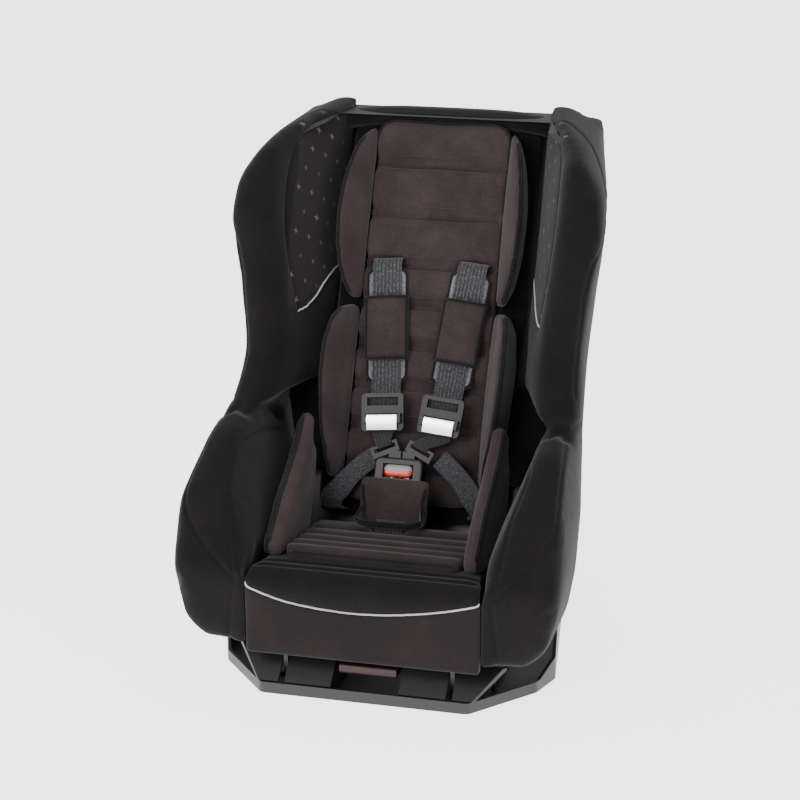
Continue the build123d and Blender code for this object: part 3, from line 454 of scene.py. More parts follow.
def bright(name, tint, rough, streak_mm):
    """Plated steel: fine polishing lines and a slight change of gloss."""
    material, tree, shader = blank(name)
    place = put(tree, "ShaderNodeTexCoord").outputs["Object"]
    drawn = put(tree, "ShaderNodeMapping", {"Vector": place, "Scale": (0.08, 1.0, 1.0)})
    lines = put(tree, "ShaderNodeTexNoise", {"Vector": drawn.outputs[0], "Scale": 1000 / streak_mm,
                                             "Detail": 3.0})
    roughness = put(tree, "ShaderNodeMapRange", {"Value": lines.outputs["Fac"], "To Min": rough - 0.05,
                                                 "To Max": rough + 0.1})
    tree.links.new(roughness.outputs[0], shader.inputs["Roughness"])
    relief = put(tree, "ShaderNodeBump", {"Height": lines.outputs["Fac"], "Strength": 0.15,
                                          "Distance": 0.1 * MM})
    tree.links.new(relief.outputs[0], shader.inputs["Normal"])
    shader.inputs["Base Color"].default_value = ink(tint)
    shader.inputs["Metallic"].default_value = 1.0
    return material


def webbing(name, dark, middle, light, rib_mm, speck=0.5):
    """Woven polyester webbing: lengthwise ribs crossed by fine picks, flecked light and dark."""
    material, tree, shader = blank(name)
    run = put(tree, "ShaderNodeUVMap", uv_map="UVMap").outputs["UV"]
    parts = put(tree, "ShaderNodeSeparateXYZ", {0: run})
    along = put(tree, "ShaderNodeMath", {0: parts.outputs[0], 1: math.tau / (1.9 * MM)}, operation="MULTIPLY")
    over = put(tree, "ShaderNodeMath", {0: parts.outputs[1], 1: math.tau / (rib_mm * MM)},
               operation="MULTIPLY")
    shifted = put(tree, "ShaderNodeMath", {0: over.outputs[0], 1: 0.5, 2: along.outputs[0]},
                  operation="MULTIPLY_ADD")
    picks = put(tree, "ShaderNodeMath", {0: shifted.outputs[0]}, operation="SINE")
    ribs = put(tree, "ShaderNodeMath", {0: over.outputs[0]}, operation="COSINE")
    height = put(tree, "ShaderNodeMath", {0: picks.outputs[0], 1: 0.35, 2: ribs.outputs[0]},
                 operation="MULTIPLY_ADD")
    stretched = put(tree, "ShaderNodeMapping", {"Vector": run, "Scale": (0.45, 1.0, 1.0)})
    flecks = put(tree, "ShaderNodeTexNoise", {"Vector": stretched.outputs[0], "Scale": 620.0, "Detail": 2.0,
                                             "Roughness": 0.7})
    spread = put(tree, "ShaderNodeMapRange", {"Value": flecks.outputs["Fac"],
                                              "From Min": 0.5 - 0.5 * (1 - speck),
                                              "From Max": 0.5 + 0.5 * (1 - speck)})
    shade = put(tree, "ShaderNodeMath", {0: height.outputs[0], 1: 0.14, 2: spread.outputs[0]},
                operation="MULTIPLY_ADD")
    colour = ramp(tree, shade.outputs[0], [(0.1, dark), (0.5, middle), (0.9, light)])
    tree.links.new(colour, shader.inputs["Base Color"])
    relief = put(tree, "ShaderNodeBump", {"Height": height.outputs[0], "Strength": 0.7,
                                          "Distance": 0.35 * MM})
    tree.links.new(relief.outputs[0], shader.inputs["Normal"])
    shader.inputs["Roughness"].default_value = 0.72
    shader.inputs["Sheen Weight"].default_value = 0.2
    shader.inputs["Specular IOR Level"].default_value = 0.35
    return material


def starred(tree, place, cloth_colour):
    """Small four-pointed crosses printed in staggered rows on the wing panels, inside the panel's seam."""
    flat = put(tree, "ShaderNodeMapping", {"Vector": place, "Rotation": (0.44, 0.0, 0.0),
                                           "Scale": (0, 45, 36)})
    parts = put(tree, "ShaderNodeSeparateXYZ", {0: flat.outputs[0]})
    row = put(tree, "ShaderNodeMath", {0: parts.outputs[2]}, operation="FLOOR")
    shove = put(tree, "ShaderNodeMath", {0: row.outputs[0], 1: 0.5, 2: parts.outputs[1]},
                operation="MULTIPLY_ADD")
    across = put(tree, "ShaderNodeMath", {0: shove.outputs[0]}, operation="FRACT")
    upward = put(tree, "ShaderNodeMath", {0: parts.outputs[2]}, operation="FRACT")
    column = put(tree, "ShaderNodeMath", {0: shove.outputs[0]}, operation="FLOOR")
    cell = put(tree, "ShaderNodeCombineXYZ", {0: column.outputs[0], 1: row.outputs[0]})
    chance = put(tree, "ShaderNodeTexWhiteNoise", {"Vector": cell.outputs[0]})
    arms = []
    for fraction in (across, upward):
        centred = put(tree, "ShaderNodeMath", {0: fraction.outputs[0], 1: 0.5}, operation="SUBTRACT")
        size = put(tree, "ShaderNodeMath", {0: centred.outputs[0]}, operation="ABSOLUTE")
        arms.append(put(tree, "ShaderNodeMath", {0: size.outputs[0], 1: 0.5}, operation="POWER"))
    point = put(tree, "ShaderNodeMath", {0: arms[0].outputs[0], 1: arms[1].outputs[0]}, operation="ADD")
    size = put(tree, "ShaderNodeMapRange", {"Value": chance.outputs["Value"], "To Min": 0.40, "To Max": 0.5})
    inside = put(tree, "ShaderNodeMath", {0: point.outputs[0], 1: size.outputs[0]}, operation="LESS_THAN")
    panel = put(tree, "ShaderNodeAttribute", attribute_name="star_panel", attribute_type="GEOMETRY")
    shown = put(tree, "ShaderNodeMath", {0: panel.outputs["Fac"], 1: 0.0}, operation="GREATER_THAN")
    print_tone = ramp(tree, chance.outputs["Value"], [(0.0, "#3f3534"), (0.6, "#514443"), (1.0, "#5f504e")])
    ground = put(tree, "ShaderNodeMix", {"Factor": shown.outputs[0], 6: cloth_colour, 7: ink("#1b1717")},
                 data_type="RGBA")
    both = put(tree, "ShaderNodeMath", {0: inside.outputs[0], 1: shown.outputs[0]}, operation="MULTIPLY")
    return put(tree, "ShaderNodeMix", {"Factor": both.outputs[0], 6: ground.outputs[2], 7: print_tone},
               data_type="RGBA").outputs[2]


VELOUR = ("#080607", "#0d0b0c", "#131011", 0.9)
BLACK_VELOUR = knit("black_velour_knit", *VELOUR, sheen=0.1, rough=0.92)
WING_VELOUR = knit("black_velour_with_print", *VELOUR, sheen=0.1, rough=0.92, zone=starred)
BROWN_JERSEY = knit("brown_jersey_knit", "#271e1f", "#302627", "#3a2f30", 0.8, sheen=0.12, rough=0.88)
FRONT_JERSEY = knit("dark_brown_jersey", "#120e0f", "#181213", "#1f1819", 0.8, sheen=0.12, rough=0.88)
# the insert's brown jersey again, darkened for the seat cushion: painted shade where the cushion lies in
# shadow
SHADED_SEAT_JERSEY = knit("brown_jersey_with_painted_shade", "#1d1617", "#251c1d", "#2e2425", 0.8, sheen=0.12, rough=0.88)
BLACK_BINDING = knit("black_binding_tape", "#0c0a0b", "#111010", "#191718", 0.7, sheen=0.12, rough=0.8)
PALE_PIPING = knit("pale_grey_piping", "#8b8684", "#a39e9c", "#b9b5b3", 0.7, sheen=0.1, rough=0.7)
GREY_MESH = knit("grey_spacer_mesh", "#3d3d40", "#56565a", "#737378", 1.2, sheen=0.12, rough=0.8, bump=0.5)
WEBBING = webbing("grey_heather_webbing", "#0e0e10", "#232226", "#504f55", 4.5, speck=0.45)
DARK_WEBBING = webbing("dark_ribbed_webbing", "#08080a", "#131215", "#36363a", 5.0, speck=0.3)
BASE_PLASTIC = moulded("black_polypropylene_base", "#0e0d0f", "#151416", 0.45, 0.5, 0.25)
SHELL_PLASTIC = moulded("black_polypropylene_shell", "#131214", "#1a191b", 0.5, 0.7, 0.35)
TRIM_PLASTIC = moulded("dark_grey_nylon_trim", "#0f0e10", "#171618", 0.45, 0.4, 0.15, specular=0.3)
BUCKLE_PLASTIC = moulded("black_abs_buckle", "#0b0a0c", "#121113", 0.42, 0.4, 0.12, specular=0.3)
BEZEL_PLASTIC = moulded("grey_abs_bezel", "#6a6a6c", "#808083", 0.4, 0.4, 0.1)
RED_BUTTON = moulded("red_acetal_button", "#a3130f", "#c41f18", 0.32, 0.4, 0.06)
# red handle plastic darkened to paint the shade of the base's recess it sits in
RED_HANDLE_PAINTED_SHADE = moulded("red_handle_polypropylene_with_painted_shade", "#26100e", "#301411", 0.45, 0.5, 0.2)
CLAMP_BLUE = moulded("blue_acetal_clamp", "#1c4a8c", "#2558a3", 0.35, 0.4, 0.06)
FOAM_WHITE = moulded("expanded_foam_beads", "#c9c9c6", "#dadad6", 0.8, 3.0, 0.5)
SILVER_LEVER = bright("satin_chrome_lever", "#f4f4f6", 0.3, 0.4)
SCREW_STEEL = bright("zinc_plated_screw", "#a9aaad", 0.34, 0.5)
ROD_STEEL = bright("bright_drawn_steel", "#b9babd", 0.26, 0.5)


def dress(piece, *materials):
    piece.data.materials.clear()
    for material in materials:
        piece.data.materials.append(material)
    return piece


def fit(piece, body, slot, *nodes, fill=None):
    """Says what a finished piece rides on and the CAD nodes it stands for, and hides those nodes; its finish
    (slot) is not used.
    """
    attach(piece, body)
    if nodes:
        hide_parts(*nodes)
    return piece


def share(piece, choose, index):
    """Gives the faces whose centre passes the test another of the piece's materials."""
    for face in piece.data.polygons:
        if choose(face.center, face.normal):
            face.material_index = index


def write_field(piece, name, values):
    field = piece.data.attributes.new(name, "FLOAT", "POINT")
    field.data.foreach_set("value", np.asarray(values, np.float32))


# ---- cover: wings, armrests, back and seat ------------------------------------------
# sewn lines of one side cover, as points (x, y, z) in millimetres with x outwards
ARM_INNER_SEAM = ((164, -18, 248), (168, -63, 262), (170, -117, 270), (171, -160, 267), (169, -185, 250),
                  (163, -212, 227), (157, -231, 180), (149, -240, 142))
ARM_OUTER_SEAM = ((210, -20, 290), (207, -85, 292), (212, -140, 274), (217, -175, 256), (218, -203, 236),
                  (212, -217, 212), (194, -229, 186), (174, -237, 166), (149, -240, 142))
FRONT_CORNER_SEAM = ((149, -240, 142), (154, -240, 110), (157, -240, 82), (158, -238, 60))
WING_LIP = ((167, -3, 262), (170, -20, 274), (172, -56, 288), (176, -84, 296), (196, -76, 298),
            (207, -85, 294))
WING_RIM_SEAM = ((140, 163, 600), (180, 118, 592), (206, 84, 566), (214, 40, 530), (211, 8, 476),
                 (208, -8, 429), (206, -14, 376), (206, -30, 320))
STAR_OUTER_SEAM = ((135, 163, 600), (145, 134, 599), (156, 96, 588), (164, 69, 570), (166, 49, 543),
                   (165, 36, 512), (163, 28, 478), (158, 26, 446), (152, 26, 412), (148, 26, 385))
STAR_LOWER_EDGE = ((118, 120, 420), (125, 106, 417), (131, 83, 407), (136, 64, 395), (142, 43, 387),
                   (148, 26, 385))


def sided(line, side, step=6):
    return smooth_run([Vector((side * x * MM, y * MM, z * MM)) for x, y, z in line], step)


def side_cover(name, side):
    """Wing and armrest of one side as one padded cover, drawn in at the waist."""
    def lap_over(co):
        return co - Vector((0, 0, 0.004)) if co.z < 0.2985 and co.z > 0.2961 else co
    piece = solid_of(f"cover_side_{name}", f"cover_wing_{name}", f"cover_armrest_{name}", shift=lap_over)
    voxelise(piece, 5)
    start = points_of(piece)
    w = in_back(start)[2]
    at_seat = np.clip((160 - np.abs(start[:, 0]) / MM) / 14, 0, 1)
    at_seat *= np.clip((-190 - start[:, 1] / MM) / 20, 0, 1)
    at_seat *= np.clip((168 - start[:, 2] / MM) / 20, 0, 1)
    behind = np.clip((26 - w) / 24, 0, 1) * 0.85
    relax(piece, 24, held=np.maximum(at_seat, behind))
    co = points_of(piece)
    low = np.clip(1 - (start[:, 2] / MM - 53) / 14, 0, 1)
    co[:, 2] += (start[:, 2] - co[:, 2]) * low
    move_points(piece, co)
    seams = [onto(sided(line, side), piece) for line in
             (ARM_INNER_SEAM, ARM_OUTER_SEAM, FRONT_CORNER_SEAM, STAR_OUTER_SEAM, WING_RIM_SEAM)]
    lip = onto(sided(WING_LIP, side), piece)
    edge = onto(sided(STAR_LOWER_EDGE, side), piece)
    w = in_back(co)[2]
    puff(piece, 7, seams + [edge, lip], reach=3.5, held=(w < 2) | (co[:, 2] < 0.07))
    groove(piece, [lip], 7.0, 9.0)
    keep_off(piece, [NODES["shell"]], 1.2)
    finer(piece)
    groove(piece, seams, 1.6, 2.2)
    groove(piece, [edge], 1.2, 2.4)
    co, no = points_of(piece), normals_of(piece)
    _, v, w = in_back(co)
    inward = no[:, 0] * -side
    under = np.interp(w, [22, 50, 80, 105, 125], [331, 306, 284, 269, 267])
    rim = np.interp(v, [270, 300, 340, 400, 480, 530], [106, 110, 114, 117, 113, 96])
    write_field(piece, "star_panel", np.minimum.reduce([v - under, rim - w, (inward - 0.15) * 60, w - 14]))
    dress(piece, WING_VELOUR)
    fit(piece, "shell", "cover_fabric", f"cover_wing_{name}", f"cover_armrest_{name}", fill=0.6)
    piping = tube(f"wing_piping_{name}", [onto(sided(STAR_LOWER_EDGE, side, 4), piece, 0.5)], 1.2)
    dress(piping, PALE_PIPING)
    fit(piping, "shell", "cover_fabric")
    return piece


def back_cover():
    piece = solid_of("cover_back_panel", "cover_back")
    voxelise(piece, 5)
    relax(piece, 9)
    co = points_of(piece)
    puff(piece, 5, held=in_back(co)[2] < 18)
    keep_off(piece, [NODES["shell"]], 1.0)
    finer(piece)
    dress(piece, BLACK_VELOUR)
    return fit(piece, "shell", "cover_fabric", "cover_back", "foam_back", fill=0.5)


def top_roll():
    """Cover gathered over the top edge of the backrest, from wing to wing."""
    rings = []
    for x in np.linspace(-134, 134, 21):
        drop = 9 * abs(x / 134) ** 4
        ring = []
        for k in range(14):
            turn = math.tau * k / 14
            ring.append(Vector((x, 200 + 24 * math.cos(turn), 595 - drop + 12 * math.sin(turn))) * MM)
        rings.append(ring)
    piece = loft("cover_top_roll", rings)
    finer(piece)
    groove(piece, [smooth_run([Vector((x, 186, 604)) * MM for x in (-134, 0, 134)], 8)], 1.2, 3)
    dress(piece, BLACK_VELOUR)
    fit(piece, "shell", "cover_fabric", fill=0.5)


FRONT_PIPING = ((-147, -240, 140), (-118, -240, 129), (-83, -240, 120), (-35, -240, 115), (11, -240, 115),
                (58, -240, 120), (104, -240, 129), (147, -240, 141))


def seat_cover():
    """Seat pad with one soft roll under the insert's front edge and a smooth piped front."""
    piece = solid_of("cover_seat_panel", "cover_seat")
    voxelise(piece, 4.5)
    co = points_of(piece)
    at_sides = np.clip((np.abs(co[:, 0]) / MM - 126) / 8, 0, 1) * np.clip((-190 - co[:, 1] / MM) / 20, 0, 1)
    hem = np.clip((66 - co[:, 2] / MM) / 8, 0, 1)
    relax(piece, 12, held=np.maximum(at_sides * np.clip((158 - co[:, 2] / MM) / 14, 0, 1), hem))
    co = points_of(piece)
    crease = [onto(smooth_run([on_pan(x, u, 26) for x in (-128, -66, 0, 66, 128)], 8), piece)
              for u in (196, 212)]
    line = onto(smooth_run([Vector(p) * MM for p in FRONT_PIPING], 5), piece)
    puff(piece, 7, crease + [line], held=(co[:, 2] < 0.062) | (in_pan(co)[2] < 17.5) & (co[:, 1] > -0.21))
    keep_off(piece, [NODES["shell"]], 1.0)
    finer(piece)
    groove(piece, crease, 2.4, 3.2)
    groove(piece, [line], 1.2, 2.6)
    dress(piece, BLACK_VELOUR, FRONT_JERSEY)
    edge_x, edge_z = [p[0] for p in FRONT_PIPING], [p[2] for p in FRONT_PIPING]
    share(piece, lambda c, n: c.y < -0.222 and c.z < np.interp(c.x / MM, edge_x, edge_z) * MM, 1)
    fit(piece, "shell", "cover_fabric", "cover_seat", "foam_seat", fill=0.6)
    piping = tube("front_piping", [onto(line, piece, 0.5)], 1.2)
    dress(piping, PALE_PIPING)
    fit(piping, "shell", "cover_fabric")
    return piece


def belt_flap(name, side):
    """Loose flap of cover over the vehicle belt's opening, beside the backrest."""
    rings = [[on_back(side * x, v, w) for x, w in
              ((114, 14), (114, 21), (outer - 10, 30), (outer, 31), (outer, 24), (outer - 10, 20))]
             for v, outer in ((84, 142), (120, 152), (160, 163), (190, 170), (208, 172))]
    piece = loft(f"belt_flap_{name}", rings)
    voxelise(piece, 3)
    relax(piece, 3)
    finer(piece)
    dress(piece, BLACK_VELOUR)
    return fit(piece, "shell", "cover_fabric", fill=0.2)


# ---- infant insert -----------------------------------------------------------------
def channel(v, half, w, frame_of=on_back, bow=0.0):
    return smooth_run([frame_of(x, v + bow * (1 - (x / half) ** 2), w)
                       for x in np.linspace(-half, half, 9)], 6)


def insert_back():
    """Head and back cushion with pairs of sewn rows across it."""
    piece = solid_of("insert_back_cushion", "insert_back")
    voxelise(piece, 3.2)
    relax(piece, 4)
    rows = [channel(v, 84, 41) for v in (470, 407, 345, 295, 245, 195, 145, 95)]
    co = points_of(piece)
    groove(piece, rows, 6.5, 9)
    puff(piece, 7, rows, reach=6, held=in_back(co)[2] < 26)
    finer(piece)
    groove(piece, rows, 4.0, 2.6, ridge=5.5)
    dress(piece, BROWN_JERSEY)
    fit(piece, "shell", "insert_fabric", "insert_back", fill=0.6)
    border = [(-84, 500), (-80, 512), (-68, 521), (-30, 524), (30, 524), (68, 521), (80, 512), (84, 500)]
    line = smooth_run([on_back(x, v, 38) for x, v in border], 4)
    edge = tube("insert_back_binding", [onto(line, piece, 0.3)], 2.0)
    dress(edge, BLACK_BINDING)
    fit(edge, "shell", "insert_fabric")


def bolster_of(name, side, outline, section, cap=5):
    """Side bolster of the back: brown up to its crest, piped there, and a black gusset outside."""
    rings = [[on_back(side * x, v, w) for x, w in section(v, crest, top)] for v, crest, top in outline]
    piece = loft(name, rings)
    voxelise(piece, 4)
    relax(piece, 4)
    ridge = smooth_run([on_back(side * crest, v, top) for v, crest, top in outline[1:]], 5)
    puff(piece, cap, [onto(ridge, piece)], reach=3.5)
    finer(piece)
    dress(piece, BROWN_JERSEY, BLACK_VELOUR)
    heights, crests = [row[0] for row in outline][::-1], [row[1] for row in outline][::-1]

    def outside(c, n):
        v = (c - BIGHT).dot(UP_BACK) / MM
        return c.x * side / MM > np.interp(v, heights, crests) + 1 and n.x * side > -0.2
    share(piece, outside, 1)
    return piece, onto(ridge, piece, 0.4)


def head_wing(name, side):
    outline = ((513, 86, 42), (500, 95, 58), (475, 103, 72), (440, 109, 81), (400, 112, 84), (355, 110, 81),
               (322, 104, 71), (298, 94, 54))

    def section(v, crest, top):
        return ((84.5, 26), (84.5, min(44, top - 4)), ((84.5 + crest) / 2 - 2, (44 + top) / 2),
                (crest - 4, top), (crest + 3, top - 2), (min(crest + 3, 117), 46), (min(crest, 108), 26))
    piece, line = bolster_of(f"insert_head_side_{name}", side, outline, section)
    fit(piece, "shell", "insert_fabric", f"insert_head_wing_{name}", fill=0.6)
    return piece, line


def lumbar_bolster(name, side):
    outline = ((290, 92, 46), (284, 100, 66), (265, 107, 84), (235, 110, 95), (200, 110, 97), (168, 108, 93),
               (130, 104, 88), (100, 98, 80), (76, 94, 62))

    def section(v, crest, top):
        return ((84.5, 26), (84.5, 44), ((84.5 + crest) / 2, (44 + top) / 2), (crest - 4, top),
                (crest + 3, top - 2),
                (min(crest + 6, 118 if v > 118 else 103), 50), (min(crest + 6, 116 if v > 118 else 102), 26))
    piece, line = bolster_of(f"insert_lumbar_side_{name}", side, outline, section, cap=4)
    fit(piece, "shell", "insert_fabric", f"insert_lumbar_bolster_{name}", fill=0.6)
    return piece, line


def insert_seat():
    piece = solid_of("insert_seat_cushion", "insert_seat")
    voxelise(piece, 4)
    relax(piece, 4)
    rows = [channel(-u, 104, 41, lambda x, s, w: on_pan(x, -s, w)) for u in (88, 116, 142, 166)]
    co = points_of(piece)
    groove(piece, rows, 3.5, 6)
    puff(piece, 6, rows, reach=4.5, held=in_pan(co)[2] < 26)
    finer(piece)
    groove(piece, rows, 1.6, 1.8)
    # the darker brown jersey paints the shade that the seat cushion lies in
    dress(piece, SHADED_SEAT_JERSEY)
    fit(piece, "shell", "insert_fabric", "insert_seat", fill=0.65)
    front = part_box("insert_seat")[0].y
    line = [Vector((x * MM, front, on_pan(0, 186, 35).z)) for x in (-98, -50, 0, 50, 98)]
    edge = tube("insert_seat_binding", [onto(smooth_run(line, 5), piece, 0.3)], 2.0)
    dress(edge, BLACK_BINDING)
    fit(edge, "shell", "insert_fabric")


def thigh_bolster(name, side):
    """High side of the seat part, whose upper end leans on the lumbar bolster."""
    outline = ((188, 26), (189, 42), (168, 64), (146, 88), (100, 122), (70, 150), (58, 172), (53.5, 171),
               (62.5, 143), (44, 128), (46, 104), (60, 70), (70, 26))
    middle = sum(u for u, _ in outline) / len(outline)
    rings = []
    for x0, scale in ((106, 0.93), (109, 0.98), (117, 1.0), (127, 0.98), (131, 0.92)):
        ring = []
        for u, w in outline:
            near_back = u < 64 and w > 130
            along = u if near_back else middle + (u - middle) * scale
            ring.append(on_pan(side * x0, along, w * (scale if w > 60 else 1)))
        rings.append(ring)
    piece = loft(f"insert_thigh_side_{name}", rings)
    voxelise(piece, 3.5)
    relax(piece, 4)
    ridge = onto(smooth_run([on_pan(side * 122, u, w) for u, w in outline[1:7]], 5), piece)
    _, v, w = in_back(points_of(piece))
    puff(piece, 4, [ridge], reach=3.5, held=(v > 100) & (w < 106))
    finer(piece)
    dress(piece, BROWN_JERSEY, BLACK_VELOUR)
    share(piece, lambda c, n: c.x * side > 0.1225 and n.x * side > -0.2, 1)
    fit(piece, "shell", "insert_fabric", f"insert_thigh_bolster_{name}", fill=0.65)
    return piece, onto(ridge, piece, 0.4)


for side_name, side_sign in SIDES:
    side_cover(side_name, side_sign)
    belt_flap(side_name, side_sign)
back_cover()
top_roll()
seat_cover()
insert_back()
insert_seat()
for side_name, side_sign in SIDES:
    for part in (head_wing, lumbar_bolster, thigh_bolster):
        padded_part, edge_line = part(side_name, side_sign)
        edging = tube(f"{part.__name__}_piping_{side_name}", [edge_line], 2.2)
        dress(edging, BLACK_BINDING)
        fit(edging, "shell", "insert_fabric")


# ---- harness -----------------------------------------------------------------------
def strap_stations(points, across, step=3.0):
    return [(p, across) for p in smooth_run(points, step)]


def strap_across(side):
    return (on_strap(side, 1, 0, 0) - on_strap(side, 0, 0, 0)).normalized()


def shoulder_strap(name, side):
    line = [on_strap(side, 0, b, w) for b, w in
            ((-56, -20), (-20, -18), (-2, -12), (1, 10), (1, 36), (-6, 45), (-14, 46.5), (-60, 46.5),
             (-110, 46.5), (-162, 46.5), (-176, 54), (-186, 57), (-203, 57))]
    piece = ribbon(f"shoulder_webbing_{name}", strap_stations(line, strap_across(side)), 36, 1.4)
    dress(piece, WEBBING)
    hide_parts(f"shoulder_strap_{name}")
    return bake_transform(piece)


def lap_strap(name, side):
    line = [on_back(side * x, v, w) for x, v, w in
            ((90, 40, -3), (90, 40, 20), (91, 42, 40), (93, 50, 49), (80, 66, 52), (62, 88, 54),
             (38, 108, 55))]
    stations = smooth_run(line, 3)
    count = len(stations)
    slant = (on_back(side * -1, -1.3, 0) - on_back(0, 0, 0)).normalized()
    turned = []
    for i, p in enumerate(stations):
        t = min(1, max(0, (i / count - 0.25) / 0.4))
        turned.append((p, (Vector((1, 0, 0)) * (1 - t) + slant * side * -t).normalized()))
    widths = [36 - 12 * min(1, i / count * 1.4) for i in range(count)]
    piece = ribbon(f"lap_webbing_{name}", turned, 36, 1.4, widths=widths)
    dress(piece, WEBBING)
    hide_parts(f"lap_strap_{name}")
    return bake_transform(piece)


def rounded(half, low, high, corner, inset):
    """Outline (a, b) of a rectangle with round corners, anticlockwise."""
    points = []
    for cx, cy, start in ((half - corner, high - corner, 0), (corner - half, high - corner, 90),
                          (corner - half, low + corner, 180), (half - corner, low + corner, 270)):
        for k in range(6):
            turn = math.radians(start + 18 * k)
            points.append((cx + (corner - inset) * math.cos(turn), cy + (corner - inset) * math.sin(turn)))
    return points


def shoulder_pad(name, side):
    """Spacer-mesh pad under the strap, bound in black all round."""
    rings = [[on_strap(side, a, b, w) for a, b in rounded(24.5, -152.5, -13.5, 10, inset)]
             for w, inset in ((41.5, 3.5), (41.9, 1.2), (43.2, 0.6), (44.8, 1.2), (45.3, 3.5))]
    piece = loft(f"shoulder_pad_face_{name}", rings)
    finer(piece)
    dress(piece, GREY_MESH)
    fit(piece, f"pad_{name}", "pad_lining", f"shoulder_pad_{name}", fill=0.3)
    loop = [on_strap(side, a, b, 43.4) for a, b in rounded(24.2, -152, -14, 10, 0)]
    edge = tube(f"shoulder_pad_binding_{name}", [smooth_run(loop + loop[:1], 3)[:-1]], 2.1, closed=True)
    dress(edge, BLACK_BINDING)
    fit(edge, f"pad_{name}", "pad_lining")


SLEEVE_SECTION = ((-25, 45.7), (-25.2, 48.8), (-21.5, 51.6), (-11, 53.6), (0, 54.2), (11, 53.6), (21.5, 51.6),
                  (25.2, 48.8), (25, 45.7), (19.4, 45.7), (18.8, 47.9), (0, 48), (-18.8, 47.9), (-19.4, 45.7))


def pad_sleeve(name, side):
    """Soft sleeve that keeps the strap on its pad, bound at both ends."""
    rings = []
    for b, drop in ((-125, 1.6), (-122, 0.6), (-112, 0.1), (-99, 0), (-87, 0.2), (-75, 0), (-62, 0.1),
                    (-52, 0.6), (-49, 1.6)):
        rings.append([on_strap(side, a, b, w - (drop if w > 48.5 else 0)) for a, w in SLEEVE_SECTION])
    piece = loft(f"strap_sleeve_{name}", rings)
    finer(piece, 2)
    wrinkles = [[on_strap(side, a, b, 53) for a, b in line] for line in
                (((-22, -108), (-8, -104), (4, -106)), ((22, -70), (9, -67), (-3, -69)),
                 ((20, -112), (12, -109)))]
    groove(piece, wrinkles, 0.9, 2.6)
    dress(piece, BROWN_JERSEY)
    fit(piece, f"pad_{name}", "insert_fabric", f"pad_sleeve_{name}", fill=0.4)
    rim = SLEEVE_SECTION[:9]
    loop = [on_strap(side, a, -124.5, w - 0.6) for a, w in rim[1:8]]
    loop += [on_strap(side, 25, b, 48.4) for b in (-110, -87, -64)]
    loop += [on_strap(side, a, -49.5, w - 0.6) for a, w in rim[7:0:-1]]
    loop += [on_strap(side, -25, b, 48.4) for b in (-64, -87, -110)]
    edge = tube(f"strap_sleeve_binding_{name}", [smooth_run(loop + loop[:1], 2.5)[:-1]], 2.0, closed=True)
    dress(edge, BLACK_BINDING)
    fit(edge, f"pad_{name}", "insert_fabric")


BUCKLE_X = -8


def crotch_pad():
    """Padded flap over the crotch strap and the buckle's foot, bound in black round its lower edge."""
    face = [on_back(0, 78, 80), on_back(0, 70, 84), on_back(0, 44, 81), on_back(0, 16, 79), on_pan(0, 93, 53)]
    under = [on_pan(0, 95, 46), on_pan(0, 86, 44), on_back(0, 20, 68), on_back(0, 50, 72),
             on_back(0, 78, 71.5)]
    way = (face[4] - face[1]).normalized()
    rings = []
    for x in (-42.5, -41, -37, -30, -15, 0, 15, 30, 37, 41, 42.5):
        lift = 15 * (1 - math.sqrt(1 - min(1.0, max(0.0, (abs(x) - 26) / 16.5)) ** 2))
        thin = 0.5 * min(1.0, max(0.0, (abs(x) - 36) / 6.5))
        ring = []
        for outer, inner in ((face, under[::-1]), (under, face[::-1])):
            for k, p in enumerate(outer):
                low = (k if outer is face else 4 - k) / 4
                q = p.lerp((p + inner[k]) / 2, thin) - way * lift * low * MM
                ring.append(Vector(((BUCKLE_X + x) * MM, q.y, q.z)))
        rings.append(ring)
    piece = loft("crotch_pad_cushion", rings)
    voxelise(piece, 3)
    relax(piece, 3)
    keep_off(piece, [NODES["buckle_front"]], 0.3)
    finer(piece)
    edge = []
    for x in (-40, -39, -33, -20, 0, 20, 33, 39, 40):
        down = {40: 0.0, 39: 0.55, 33: 0.9, 20: 1.0, 0: 1.0}[abs(x)]
        spot = face[1].lerp(face[4], down)
        edge.append(Vector(((BUCKLE_X + x) * MM, spot.y, spot.z)))
    seam = onto(smooth_run(edge, 4), piece, 0.3)
    dress(piece, BROWN_JERSEY, BLACK_BINDING)
    low_seam = face[1].lerp(face[4], 0.8).y
    share(piece, lambda c, n: c.y < low_seam or n.y > 0.35, 1)
    fit(piece, "shell", "insert_fabric", "crotch_pad", fill=0.6)
    binding = tube("crotch_pad_binding", [seam], 2.2)
    dress(binding, BLACK_BINDING)
    fit(binding, "shell", "insert_fabric")


def crotch_strap():
    points = [on_pan(BUCKLE_X, u, w) for u, w in ((78, -4), (78, 20), (77, 40), (66, 50))]
    points += [on_back(BUCKLE_X, v, w) for v, w in ((30, 58), (55, 53))]
    piece = ribbon("crotch_webbing", strap_stations(points, Vector((1, 0, 0))), 36, 1.4)
    dress(piece, DARK_WEBBING)
    fit(piece, "shell", "webbing", "crotch_strap")


def on_adjuster(side, a, b, w):
    """Point a across and b along an adjuster from its centre, w off the shell."""
    cos, sin = math.cos(STRAP_LEAN), side * math.sin(STRAP_LEAN)
    return on_back(side * 36 + a * cos + b * sin, 158 - a * sin + b * cos, w)


